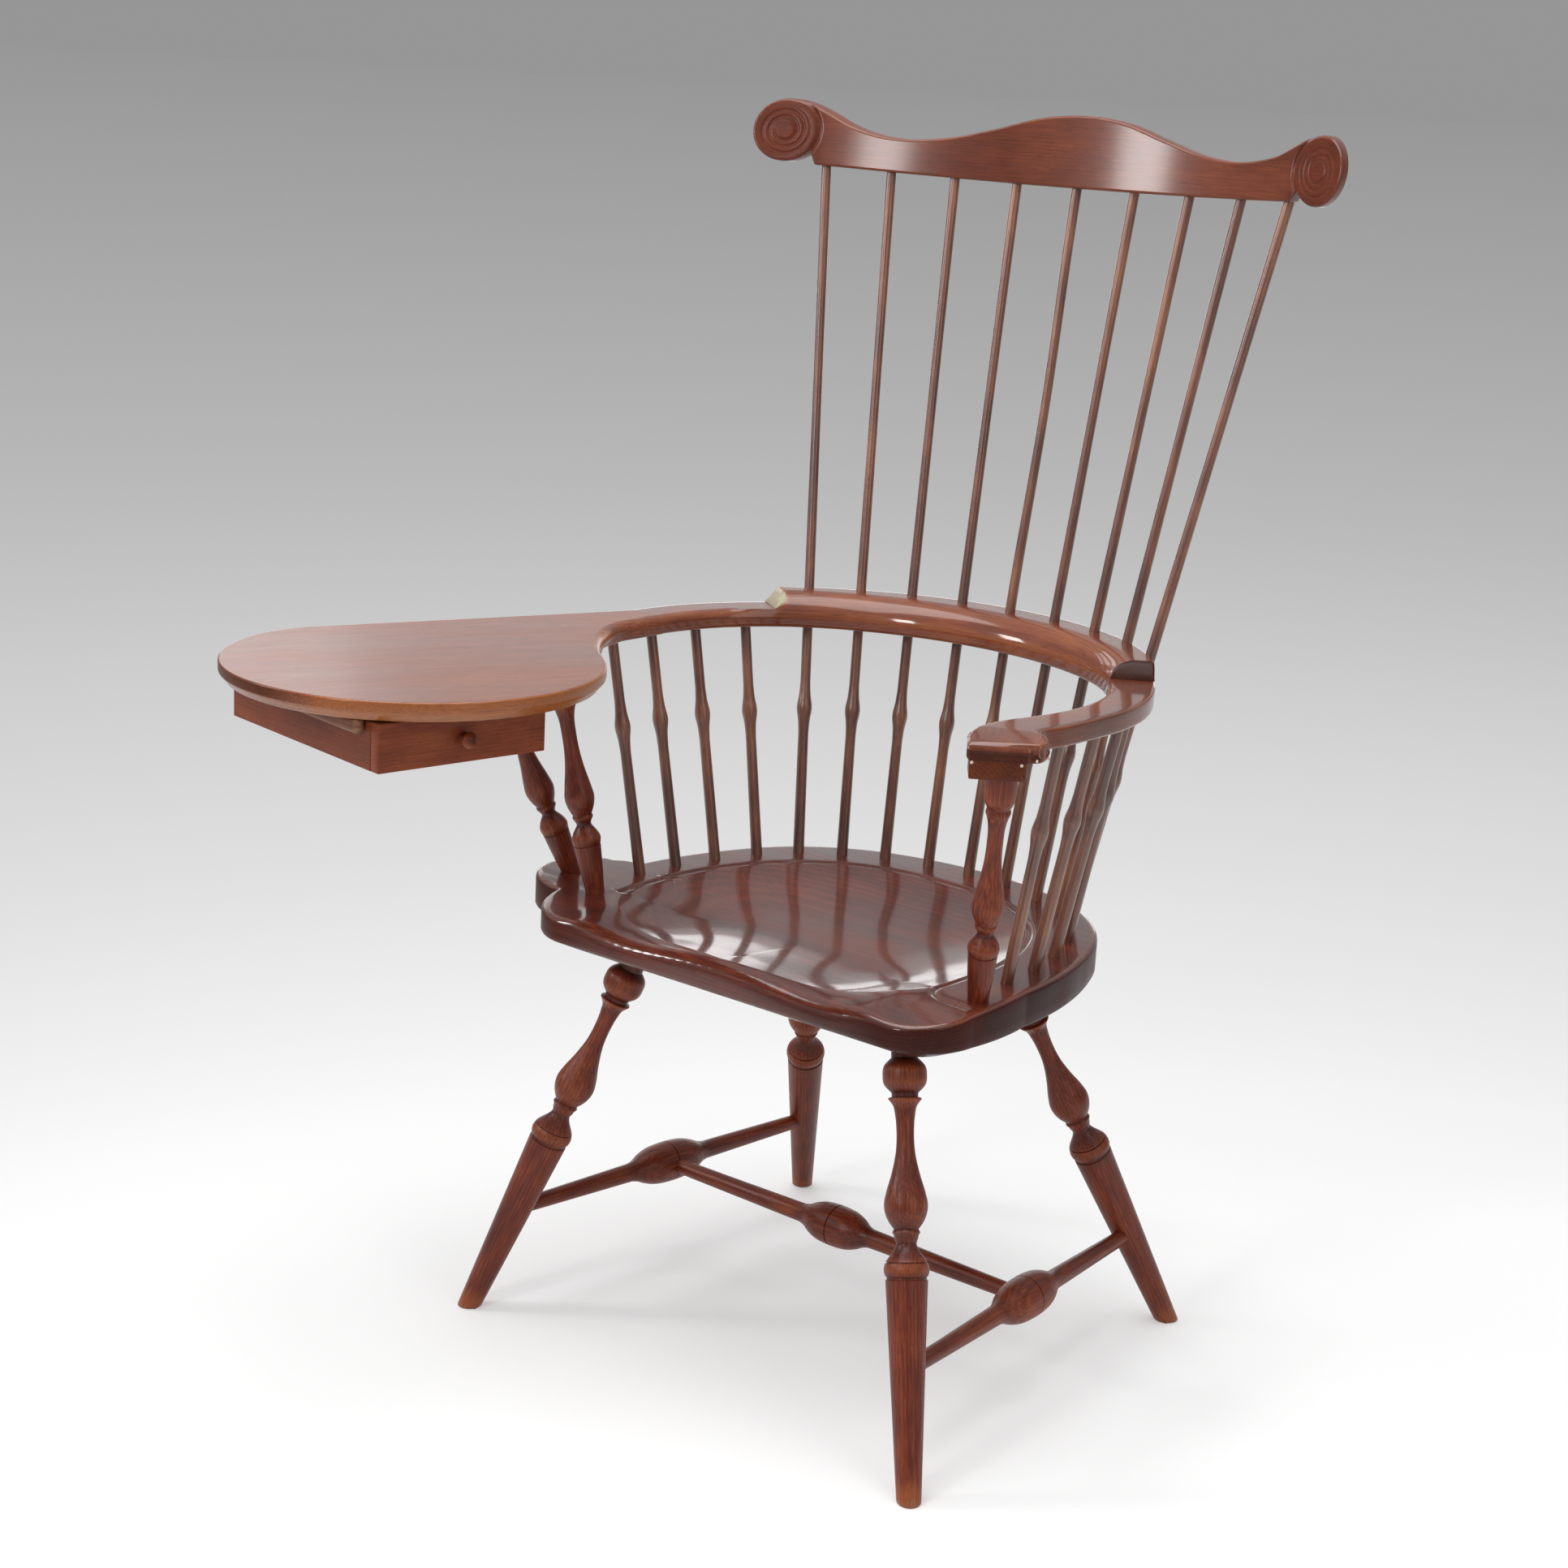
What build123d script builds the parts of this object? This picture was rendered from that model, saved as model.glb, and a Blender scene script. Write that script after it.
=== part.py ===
from build123d import *
from math import asin, atan2, cos, degrees, hypot, radians, sin, sqrt
import os

# All sizes are in millimetres. The chair faces -Y, +X is the sitter's left and the writing
# tablet is on the sitter's right. Heights count up from the floor.

fit = 0.05          # radial clearance of a glued joint
end_gap = 0.5       # space left at the bottom of a socket

# Seat
seat_height = 438.0
seat_thickness = 48.0
seat_edge_height = 34.0         # upright part of the seat's edge
seat_edge_bevel = 30.0          # how far the underside is cut back from the edge
seat_half_width = 256.0
seat_front = 212.0              # front edge, ahead of the seat's origin
seat_waist = -70.0              # where the sides are widest
seat_side_r = 400.0
seat_side_turn = 24.5           # degrees of the side arc
seat_shoulder_r = 200.0
seat_shoulder_turn = 45.7       # degrees of the arc between side and back
seat_corner_r = 60.0
lobe_r = 58.5                   # round lobe that carries the outer tablet post
lobe_overhang = 6.0             # lobe centre outside the seat's side
lobe_setback = 117.0            # lobe centre behind the front edge
dish_r = 204.0
dish_depth = 16.0
dish_centre = -38.0
scoop_offset = 112.0
scoop_r = 170.0
scoop_depth = 20.0
scoop_length = 235.0

# Legs
leg_tenon_r = 11.0
leg_tenon_depth = 22.0
leg_head_r = 12.3
leg_head_length = 25.0
leg_ball_r = 20.4
leg_ball_length = 32.0
leg_fillet_length = 5.0
leg_collar_r = 15.7
leg_neck_r = 8.1
leg_vase_r = 20.1
leg_vase_length = 118.0
leg_ring_r = 12.7
leg_ring_length = 8.0
leg_cove_r = 9.4
leg_torus_r = 20.8
leg_cove_length = 34.0
leg_groove_r = 18.5
leg_groove_length = 3.5
leg_taper_r = 19.4
leg_foot_r = 11.3
foot_rounding = 2.5
front_leg_inset = (92.6, 83.6)   # leg head inside the seat's side and behind its front
back_leg_inset = (128.0, 128.0)  # leg head inside the seat's side and ahead of its back
front_leg_lean = (0.304, 0.281)  # outward and forward run of the foot per unit of height
back_leg_lean = (0.30, 0.419)

# Stretchers
stretcher_front_height = 108.0
stretcher_back_height = 100.0
stretcher_rod_r = 7.8
stretcher_swell_r = 9.7
stretcher_bulb_r = 21.3
side_bulb_half = 54.0
centre_bulb_half = 44.0
stretcher_overrun = 5.0         # how far a stretcher's end passes the other piece's axis

# Arms
arm_clearance = 238.5           # seat to the underside of the arms
arm_thickness = 19.0
arm_width = 43.0
arm_inner_x = 249.0
arm_corner_r = 203.0
arm_bend = 30.0                 # degrees of the flat arc on each side of the back's middle
arm_back_width = 60.0
arm_spindle_setback = 36.8      # from the rail's inner edge to the middle spindle
crest_height = 16.0
crest_span = 54.0               # degrees on each side of the back's middle
crest_width = 45.0
crest_ramp = 14.5
crest_edge = 2.5

# Knuckle hand of the left arm
hand_turn = 37.0                # degrees that the hand is turned outward
hand_width = 53.0
hand_front = (283.0, -183.0)    # middle of the hand's front edge
hand_depth = 40.0
hand_notch_in = 9.0             # how far the notch behind the hand cuts into the arm
hand_notch_back = 26.0          # notch behind the hand's outer corner
hand_notch_end = 22.0           # length of the notch
hand_waist_out = 4.0            # how far the arm's inner edge bows in behind the hand
hand_waist_back = 40.0
hand_roll = 8.0
knuckle_height = 17.5
knuckle_setback = 3.0
knuckle_side_gap = 1.5
knuckle_depth = 38.0
knuckle_roll = 7.0

# Posts under the arm and the tablet
post_tenon_r = 8.0
post_base_r = 9.6
post_torus_r = 14.4
post_torus_at = 54.0
post_cove_r = 7.1
post_cove_at = 68.0
post_ring_r = 10.3
post_ring_at = 75.5
post_vase_r = 14.7
post_vase_at = 94.5
post_neck_r = 7.2
post_neck_at = 158.0
post_cup_at = 193.0
post_cup_r = 14.3
post_tenon_depth = 22.0
stump_inset = (19.0, 91.0)       # foot of the stump inside the seat's side, behind its front
stump_setback = 34.0             # head of the stump behind the hand's front edge
stump_outset = 7.0               # and outside the hand's middle
stump_head_tenon = 24.0
front_post_inset = (37.0, 73.0)
front_post_head = (-258.0, -165.0)
back_post_offset = (-16.0, -16.0)   # foot of the outer post from the lobe's centre
back_post_head = (-329.0, -194.0)
post_head_tenon = 12.0
post_shoulder_gap = 0.6

# Spindles
spindle_inset = 28.0            # row of spindles inside the seat's edge
spindle_pitch = 53.9            # along the seat's edge
spindle_seat_r = 5.9
spindle_waist_r = 5.4
spindle_bulb_r = 8.1
spindle_bulb_rise = 149.0       # above the seat
spindle_bulb_half = 27.0
spindle_rail_r = 5.3
spindle_slim_r = 4.7
spindle_top_r = 5.1
spindle_seat_depth = 26.0
spindle_arm_depth = 13.0
long_count = 4                  # long spindles on each side of the middle one
short_count = 4
short_first = -47.7             # front short spindle ahead of the arm's bend
short_pitch = 57.5
back_lean = 0.1506              # backward run of the back per unit of height

# Comb
comb_clearance = 439.5          # top of the arms to the underside of the comb
comb_thickness = 17.0
comb_bow_r = 645.0
comb_pitch = 70.6
comb_half = 290.0
comb_rise = 6.0                 # rise of the underside towards the ears
comb_crown = 71.0               # height at the middle
comb_dip = 37.5                 # height of the low stretch
comb_dip_at = 205.0
comb_wing = 52.0                # height where the ears begin
ear_at = 320.0
ear_r = 33.0
ear_height = 39.0               # ear centre above the comb's underside
ear_boss_r = 8.0
ear_boss_height = 1.5
comb_socket_depth = 24.0

# Writing tablet, flush with the arm
tablet_r = 176.5
tablet_centre = (-251.0, -358.0)
tablet_flat = 12.0              # how far the straight rear edge cuts inside the circle
tablet_blend_r = 120.0
tablet_leave = 36.5             # degrees from +X where the outline leaves the circle
tablet_shoulder = (-159.0, -198.0)
tablet_throat = (-204.0, -152.0)
tablet_notch = (-216.0, -119.0)
tablet_neck = (-243.0, -100.0)
tablet_neck_end = -78.0
tablet_bevel_height = 9.0
tablet_bevel = 6.0

# Drawer under the tablet
drawer_turn = -10.0             # degrees that the drawer is turned from +X
drawer_face = (-131.0, -409.5)  # middle of the drawer front's outer face
drawer_width = 176.0
drawer_depth = 248.5
drawer_height = 44.4
drawer_gap = 2.1                # under the tablet
drawer_front_thickness = 12.0
drawer_side_thickness = 9.0
drawer_back_thickness = 8.0
drawer_bottom_thickness = 4.0
drawer_bottom_rise = 4.0
drawer_groove = 3.0
drawer_play = 0.8
drawer_panel_setback = 1.0      # bottom panel inside the drawer's back
knob_r = 7.6
knob_neck_r = 4.2
knob_length = 15.0
knob_tenon = 8.0
cleat_width = 11.0
cleat_height = 14.0
cleat_length = 212.0
cleat_setback = 19.0
cleat_round = 4.5
tongue_height = 5.0
tongue_depth = 4.0
tongue_drop = 8.0               # top of the tongue below the cleat's top
screw_r = 1.8
screw_head_r = 3.2
screw_bite = 8.0
screw_count = 3
screw_end = 24.0                # end screws from the cleat's ends
screw_head_length = 2.5
screw_sunk = 0.3                # heads below the cleat's underside

# Hidden dowels
dowel_r = 4.0
dowel_half = 10.0
crest_dowels_at = (-46.0, -16.0, 16.0, 46.0)
crest_dowel_half = 7.0
tablet_dowel_share = 0.2        # of the arm's width, in from each edge
joint_dowel_in = 12.0           # dowel of the rail's middle joint, in from the inner edge

# Places worked out from the sizes above
seat_under = seat_height - seat_thickness
side_gap = seat_side_r - seat_shoulder_r
shoulder_x = seat_half_width - seat_side_r + side_gap * cos(radians(seat_side_turn))
shoulder_y = seat_waist + side_gap * sin(radians(seat_side_turn))
back_turn = 90 - seat_side_turn - seat_shoulder_turn
seat_back_r = seat_shoulder_r + shoulder_x / sin(radians(back_turn))
seat_back_y = shoulder_y - (seat_back_r - seat_shoulder_r) * cos(radians(back_turn))
seat_back = seat_back_y + seat_back_r
arm_under = seat_height + arm_clearance
arm_top = arm_under + arm_thickness
crest_top = arm_top + crest_height
comb_under = arm_top + comb_clearance

arm_outer_x = arm_inner_x + arm_width
corner_x = arm_inner_x - arm_corner_r
row_back = seat_back - spindle_inset
rail_back_inner = row_back + back_lean * (arm_clearance + arm_thickness / 2) - arm_spindle_setback
inner_back_r = arm_corner_r + corner_x / sin(radians(arm_bend))
inner_back_y = rail_back_inner - inner_back_r
corner_y = inner_back_y + (inner_back_r - arm_corner_r) * cos(radians(arm_bend))
outer_corner_r = arm_corner_r + arm_width
rail_back_outer = rail_back_inner + arm_back_width
outer_reach = rail_back_outer - outer_corner_r
outer_back_y = (outer_reach**2 - corner_x**2 - corner_y**2) / (2 * (outer_reach - corner_y))
outer_back_r = rail_back_outer - outer_back_y
outer_bend = degrees(atan2(corner_x, corner_y - outer_back_y))

lobe_centre = (-seat_half_width - lobe_overhang, lobe_setback - seat_front)
comb_back = row_back + back_lean * (comb_under - seat_height)
comb_bow_y = comb_back - comb_bow_r
drawer_base = arm_under - drawer_gap - drawer_height


def turned(start, end, runs):
    # solid of revolution about the line from start to end, from smooth runs of (distance, radius)
    edges = []
    for run in runs:
        points = [(radius, distance) for distance, radius in run]
        edges.append(Spline(*points) if len(points) > 2 else Line(*points))
    low, high = runs[0][0], runs[-1][-1]
    edges.append(Line((high[1], high[0]), (0, high[0])))
    edges.append(Line((0, high[0]), (0, low[0])))
    edges.append(Line((0, low[0]), (low[1], low[0])))
    solid = revolve(Plane.XZ * make_face(Wire(edges)), Axis.Z)
    return Plane(origin=start, z_dir=Vector(*end) - Vector(*start)).location * solid


def rod(start, end, radius):
    length = (end - start).length
    return turned(start, end, [[(0, radius), (length, radius)]])


def socket(mouth, depth_point, radius, overrun=8.0):
    # cutter for a round tenon whose end is at depth_point
    along = (depth_point - mouth).normalized()
    return rod(mouth - along * overrun, depth_point + along * end_gap, radius + fit)


def at_height(foot, head, z):
    return foot + (head - foot) * ((z - foot.Z) / (head.Z - foot.Z))


# Seat

def seat_edge_curve():
    side_x = seat_half_width - seat_side_r
    start = seat_side_turn
    turn = seat_shoulder_turn
    return Wire([
        CenterArc((side_x, seat_waist), seat_side_r, 0, start),
        CenterArc((shoulder_x, shoulder_y), seat_shoulder_r, start, turn),
        CenterArc((0, seat_back_y), seat_back_r, 90 - back_turn, 2 * back_turn),
        CenterArc((-shoulder_x, shoulder_y), seat_shoulder_r, 90 + back_turn, turn),
        CenterArc((-side_x, seat_waist), seat_side_r, 180 - start, start),
    ])


def row_point(place):
    # point of the spindle row, counted in pitches from the middle of the back
    curve = seat_edge_curve()
    share = 0.5 - place * spindle_pitch / curve.length
    point = curve.position_at(share)
    along = curve.tangent_at(share)
    return Vector(point.X - along.Y * spindle_inset, point.Y + along.X * spindle_inset, seat_height)


def seat_outline():
    front = -seat_front
    back = seat_edge_curve()
    left = Line((-seat_half_width, seat_waist), (-seat_half_width, front))
    edge = Line((-seat_half_width, front), (seat_half_width, front))
    right = Line((seat_half_width, front), (seat_half_width, seat_waist))
    plate = make_face(Wire(back.edges() + [left, edge, right]))
    corners = [v for v in plate.vertices() if abs(v.Y - front) < 0.01]
    return fillet(corners, seat_corner_r)


def bevelled_plate(outline):
    # slab of the seat's thickness whose underside is cut back from the edge
    slab = Pos(0, 0, seat_under) * extrude(outline, seat_thickness)
    bottom = slab.faces().sort_by(Axis.Z)[0]
    drop = seat_thickness - seat_edge_height
    return chamfer(bottom.edges(), seat_edge_bevel, drop, reference=bottom)


def seat_dish():
    sphere_r = (dish_r**2 + dish_depth**2) / (2 * dish_depth)
    cut = Pos(0, dish_centre, seat_height - dish_depth + sphere_r) * Sphere(sphere_r)
    front = -seat_front
    slope = scoop_depth / scoop_length
    for side in (-1, 1):
        low = Vector(side * scoop_offset, front, seat_height - scoop_depth + scoop_r)
        along = Vector(0, 1, slope).normalized()
        scoop = rod(low - along * seat_corner_r, low + along * 2 * scoop_length, scoop_r)
        cut += scoop
    return cut


def seat():
    body = bevelled_plate(seat_outline())
    body += bevelled_plate(Pos(*lobe_centre) * Circle(lobe_r))
    body -= seat_dish()
    for foot, head in leg_lines().values():
        body -= socket(head, leg_tip(foot, head), leg_tenon_r)
    for foot, head in long_lines() + short_lines(1) + short_lines(-1):
        body -= socket(foot, spindle_foot(foot, head), spindle_seat_r)
    for foot, head in (stump_line(), front_post_line(), back_post_line()):
        body -= socket(foot, foot - (head - foot).normalized() * post_tenon_depth, post_tenon_r)
    return body


# Legs and stretchers

def leg_line(inset, lean, side, forward):
    edge = -seat_front if forward else seat_back
    into = 1 if forward else -1
    x = side * (seat_half_width - inset[0])
    y = edge + into * inset[1]
    head = Vector(x, y, seat_under)
    foot = Vector(x + side * lean[0] * seat_under, y - into * lean[1] * seat_under, 0)
    return foot, head


def leg_lines():
    return {
        "leg_front_left": leg_line(front_leg_inset, front_leg_lean, 1, True),
        "leg_front_right": leg_line(front_leg_inset, front_leg_lean, -1, True),
        "leg_back_left": leg_line(back_leg_inset, back_leg_lean, 1, False),
        "leg_back_right": leg_line(back_leg_inset, back_leg_lean, -1, False),
    }


def leg_tip(foot, head):
    return head + (head - foot).normalized() * leg_tenon_depth


def leg_runs(length):
    ball = leg_head_length
    neck = ball + leg_ball_length
    vase = neck + leg_fillet_length
    ring = vase + leg_vase_length
    cove = ring + leg_ring_length
    groove = cove + leg_cove_length
    taper = groove + leg_groove_length
    tail = length + 2 * leg_foot_r
    tail_r = leg_foot_r - (leg_taper_r - leg_foot_r) * 2 * leg_foot_r / (length - taper)
    ball_mid = ball + leg_ball_length / 2
    ball_side = leg_head_r + 0.74 * (leg_ball_r - leg_head_r)
    vase_run = [(0.0, leg_collar_r), (0.05, leg_collar_r - 4.3), (0.13, leg_neck_r + 1.1),
                (0.25, leg_neck_r), (0.41, leg_neck_r + 0.8), (0.58, leg_neck_r + 5.0),
                (0.73, leg_vase_r - 1.8), (0.81, leg_vase_r), (0.88, leg_vase_r - 1.0),
                (0.95, leg_vase_r - 4.6), (1.0, leg_ring_r - 1.4)]
    return [
        [(-leg_tenon_depth, leg_tenon_r), (0, leg_tenon_r)],
        [(0, leg_tenon_r), (0, leg_head_r)],
        [(0, leg_head_r), (ball, leg_head_r)],
        [(ball, leg_head_r), (ball + leg_ball_length / 5, ball_side), (ball_mid, leg_ball_r),
         (neck - leg_ball_length / 5, ball_side), (neck, leg_head_r)],
        [(neck, leg_head_r), (vase - 1.5, leg_head_r)],
        [(vase - 1.5, leg_head_r), (vase, leg_collar_r)],
        [(vase + share * leg_vase_length, radius) for share, radius in vase_run],
        [(ring, leg_ring_r - 1.4), (ring + leg_ring_length / 3, leg_ring_r),
         (ring + leg_ring_length * 2 / 3, leg_ring_r - 1.4)],
        [(ring + leg_ring_length * 2 / 3, leg_ring_r - 1.4), (cove, leg_ring_r - 1.6)],
        [(cove, leg_ring_r - 1.6), (cove + 0.15 * leg_cove_length, leg_cove_r),
         (cove + 0.32 * leg_cove_length, leg_cove_r + 2.4),
         (cove + 0.56 * leg_cove_length, leg_torus_r - 3.2),
         (cove + 0.8 * leg_cove_length, leg_torus_r), (groove, leg_torus_r - 1.4)],
        [(groove, leg_torus_r - 1.4), (groove + 0.5, leg_groove_r)],
        [(groove + 0.5, leg_groove_r), (taper - 0.5, leg_groove_r)],
        [(taper - 0.5, leg_groove_r), (taper, leg_taper_r)],
        [(taper, leg_taper_r), (tail, tail_r)],
    ]


def leg(name):
    foot, head = leg_lines()[name]
    body = turned(head, foot, leg_runs((foot - head).length))
    floor_box = Pos(foot.X, foot.Y, -seat_height / 2) * Box(seat_height, seat_height, seat_height)
    body -= floor_box
    sole = body.faces().sort_by(Axis.Z)[0]
    body = fillet(sole.edges(), foot_rounding)
    body -= shoulder(head, 2 * leg_ball_r, 1) - rod(foot, leg_tip(foot, head), leg_tenon_r)
    for start, end in (side_line(1), side_line(-1)):
        for near, far in ((start, end), (end, start)):
            if (near - foot).length < (far - foot).length and near.X * foot.X > 0:
                body -= rod(near - (far - near).normalized() * end_gap, far, stretcher_rod_r + fit)
    return body


def side_line(side):
    front_foot, front_head = leg_line(front_leg_inset, front_leg_lean, side, True)
    back_foot, back_head = leg_line(back_leg_inset, back_leg_lean, side, False)
    front = at_height(front_foot, front_head, stretcher_front_height)
    back = at_height(back_foot, back_head, stretcher_back_height)
    along = (back - front).normalized()
    return front - along * stretcher_overrun, back + along * stretcher_overrun


def centre_line():
    left = (side_line(1)[0] + side_line(1)[1]) / 2
    right = (side_line(-1)[0] + side_line(-1)[1]) / 2
    along = (right - left).normalized()
    return left - along * stretcher_overrun, right + along * stretcher_overrun


def stretcher_runs(length, half):
    mid = length / 2
    rod_end = 3 * stretcher_rod_r
    swell = stretcher_swell_r
    bulb = stretcher_bulb_r
    shape = [(-1.0, swell), (-0.83, swell + 2.2), (-0.66, bulb - 5.4), (-0.45, bulb - 1.9),
             (-0.2, bulb - 0.3), (0.0, bulb)]
    shape += [(-share, radius) for share, radius in reversed(shape[:-1])]
    return [
        [(0, stretcher_rod_r), (rod_end, stretcher_rod_r)],
        [(rod_end, stretcher_rod_r), (mid - half, swell)],
        [(mid + share * half, radius) for share, radius in shape],
        [(mid + half, swell), (length - rod_end, stretcher_rod_r)],
        [(length - rod_end, stretcher_rod_r), (length, stretcher_rod_r)],
    ]


def side_stretcher(side):
    start, end = side_line(side)
    body = turned(start, end, stretcher_runs((end - start).length, side_bulb_half))
    near, far = centre_line() if side > 0 else centre_line()[::-1]
    return body - rod(near - (far - near).normalized() * end_gap, far, stretcher_rod_r + fit)


def centre_stretcher():
    start, end = centre_line()
    return turned(start, end, stretcher_runs((end - start).length, centre_bulb_half))


# Spindles

def comb_point(place):
    angle = place * comb_pitch / comb_bow_r
    return Vector(comb_bow_r * sin(angle), comb_bow_y + comb_bow_r * cos(angle), comb_under)


def long_lines():
    return [(row_point(place), comb_point(place)) for place in range(-long_count, long_count + 1)]


def short_lines(side):
    lines = []
    mid_r = arm_corner_r + arm_width / 2
    for index in range(short_count):
        place = long_count + short_count - index
        along = short_first + index * short_pitch
        turn = max(along, 0) / mid_r
        x = corner_x + mid_r * cos(turn)
        y = corner_y + mid_r * sin(turn) + min(along, 0)
        lines.append((row_point(side * place), Vector(side * x, y, arm_under)))
    return lines


def spindle_foot(foot, head):
    return foot - (head - foot).normalized() * spindle_seat_depth


def spindle_runs(scale):
    # below the rail; scale turns a rise above the seat into a length along the spindle
    mid = spindle_seat_depth + spindle_bulb_rise * scale
    start = mid - spindle_bulb_half
    end = mid + spindle_bulb_half
    return [
        [(0, spindle_seat_r), (spindle_seat_depth + 4, spindle_seat_r)],
        [(spindle_seat_depth + 4, spindle_seat_r), (start, spindle_waist_r)],
        [(start, spindle_waist_r), (start + spindle_bulb_half / 2, spindle_waist_r + 0.8),
         (mid, spindle_bulb_r), (end - spindle_bulb_half / 2, spindle_rail_r + 0.9),
         (end, spindle_rail_r)],
    ]


def long_spindle(index):
    foot, head = long_lines()[index]
    along = (head - foot).normalized()
    start = spindle_foot(foot, head)
    end = head + along * comb_socket_depth
    scale = 1 / along.Z
    above = spindle_seat_depth + (crest_top - seat_height) * scale + 6
    comb = spindle_seat_depth + (comb_under - seat_height) * scale - 3
    runs = spindle_runs(scale)
    bulb_end = runs[-1][-1][0]
    runs += [
        [(bulb_end, spindle_rail_r), (above, spindle_rail_r)],
        [(above, spindle_rail_r), ((above + comb) / 2, spindle_slim_r), (comb, spindle_top_r)],
        [(comb, spindle_top_r), ((end - start).length, spindle_top_r)],
    ]
    return turned(start, end, runs)


def short_spindle(side, index):
    foot, head = short_lines(side)[index]
    along = (head - foot).normalized()
    start = spindle_foot(foot, head)
    end = head + along * spindle_arm_depth
    runs = spindle_runs(1 / along.Z)
    bulb_end = runs[-1][-1][0]
    runs += [[(bulb_end, spindle_rail_r), ((end - start).length, spindle_rail_r)]]
    return turned(start, end, runs)


# Arm rail and crest

def rail_half_outline(side):
    # one half of the rail, from the middle of the back to the end of the bend
    bend = arm_bend
    wide = outer_bend
    inner_back = CenterArc((0, inner_back_y), inner_back_r, 90, -bend)
    inner_side = CenterArc((corner_x, corner_y), arm_corner_r, 90 - bend, bend - 90)
    end = Line((arm_inner_x, corner_y), (arm_outer_x, corner_y))
    outer_side = CenterArc((corner_x, corner_y), outer_corner_r, 0, 90 - wide)
    outer_back = CenterArc((0, outer_back_y), outer_back_r, 90 - wide, wide)
    joint = Line((0, rail_back_outer), (0, rail_back_inner))
    face = make_face(Wire([inner_back, inner_side, end, outer_side, outer_back, joint]))
    return face if side > 0 else mirror(face, Plane.YZ)


def hand_outline():
    turn = radians(hand_turn)
    forward = Vector(sin(turn), -cos(turn))
    across = Vector(cos(turn), sin(turn))
    front = Vector(*hand_front)
    inner = front - across * hand_width / 2
    outer = front + across * hand_width / 2
    heel = outer - forward * hand_depth / 2
    notch = (arm_outer_x - hand_notch_in, heel.Y + hand_notch_back)
    arm_back = (arm_outer_x, notch[1] + hand_notch_end)
    cheek = inner - forward * hand_depth * 0.7
    waist = (arm_inner_x - hand_waist_out, cheek.Y + hand_waist_back)
    points = [(arm_inner_x, corner_y), waist, (cheek.X, cheek.Y),
              (inner.X, inner.Y), (outer.X, outer.Y), (heel.X, heel.Y), notch, arm_back,
              (arm_outer_x, corner_y)]
    return make_face(Polyline(*points, close=True))


def rail_sockets(side):
    cuts = []
    for foot, head in long_lines():
        if head.X * side >= -comb_pitch / 2:
            low = at_height(foot, head, arm_under - 5)
            high = at_height(foot, head, crest_top + 5)
            cuts.append(rod(low, high, spindle_rail_r + fit))
    for foot, head in short_lines(side):
        along = (head - foot).normalized()
        cuts.append(socket(head, head + along * spindle_arm_depth, spindle_rail_r))
    return cuts


def arm_left():
    outline = rail_half_outline(1) + hand_outline()
    body = Pos(0, 0, arm_under) * extrude(outline, arm_thickness)
    turn = radians(hand_turn)
    across = Vector(cos(turn), sin(turn), 0)
    front = [e for e in body.edges() if e.center().Z > arm_top - 0.01
             and abs(e.length - hand_width) < 0.01 and abs((e % 0.5).dot(across)) > 0.99]
    body = fillet(front, hand_roll)
    for cut in rail_sockets(1):
        body -= cut
    body -= crest_dowel_cuts(1)
    foot, head = stump_line()
    body -= socket(head, stump_tip(), post_tenon_r)
    return body - joint_dowel_cut()


def arm_right():
    body = Pos(0, 0, arm_under) * extrude(rail_half_outline(-1), arm_thickness)
    for cut in rail_sockets(-1):
        body -= cut
    body -= crest_dowel_cuts(-1)
    return body - tablet_dowel_cuts() - joint_dowel_cut()


def arm_crest():
    inner_r = outer_back_r - crest_width
    sector = make_face(Wire([
        CenterArc((0, outer_back_y), outer_back_r, 90 - crest_span, 2 * crest_span),
        polar_line(90 + crest_span, outer_back_r, inner_r),
        CenterArc((0, outer_back_y), inner_r, 90 - crest_span, 2 * crest_span),
        polar_line(90 - crest_span, inner_r, outer_back_r),
    ]))
    body = Pos(0, 0, arm_top) * extrude(sector, crest_height)
    top = [e for e in body.edges() if e.center().Z > crest_top - 0.01]
    ends = [e for e in top if e.geom_type == GeomType.LINE]
    body = chamfer(ends, crest_ramp)
    rims = [e for e in body.edges() if e.center().Z > crest_top - 0.01 and e.geom_type == GeomType.CIRCLE]
    body = fillet(rims, crest_edge)
    for foot, head in long_lines():
        low = at_height(foot, head, arm_top - 5)
        high = at_height(foot, head, crest_top + 5)
        body -= rod(low, high, spindle_rail_r + fit)
    return body - crest_dowel_cuts(1) - crest_dowel_cuts(-1)


def polar_line(angle, start_r, end_r):
    turn = radians(angle)
    start = (start_r * cos(turn), outer_back_y + start_r * sin(turn))
    end = (end_r * cos(turn), outer_back_y + end_r * sin(turn))
    return Line(start, end)


def crest_dowel_places(side):
    mid_r = outer_back_r - crest_width / 2
    places = []
    for angle in crest_dowels_at:
        if angle * side > 0:
            turn = radians(90 - angle)
            places.append(Vector(mid_r * cos(turn), outer_back_y + mid_r * sin(turn), arm_top))
    return places


def upright_dowels(places, radius, half):
    up = Vector(0, 0, half)
    solids = [rod(place - up, place + up, radius) for place in places]
    return solids


def crest_dowel_cuts(side):
    return Compound(upright_dowels(crest_dowel_places(side), dowel_r + fit, crest_dowel_half + end_gap))


def crest_dowels():
    places = crest_dowel_places(1) + crest_dowel_places(-1)
    return Compound(upright_dowels(places, dowel_r, crest_dowel_half))


def joint_dowel(grow, half):
    mid = Vector(0, rail_back_inner + joint_dowel_in, arm_under + arm_thickness / 2)
    along = Vector(half, 0, 0)
    return rod(mid - along, mid + along, dowel_r + grow)


def joint_dowel_cut():
    return joint_dowel(fit, dowel_half + end_gap)


# Knuckle block and posts

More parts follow.
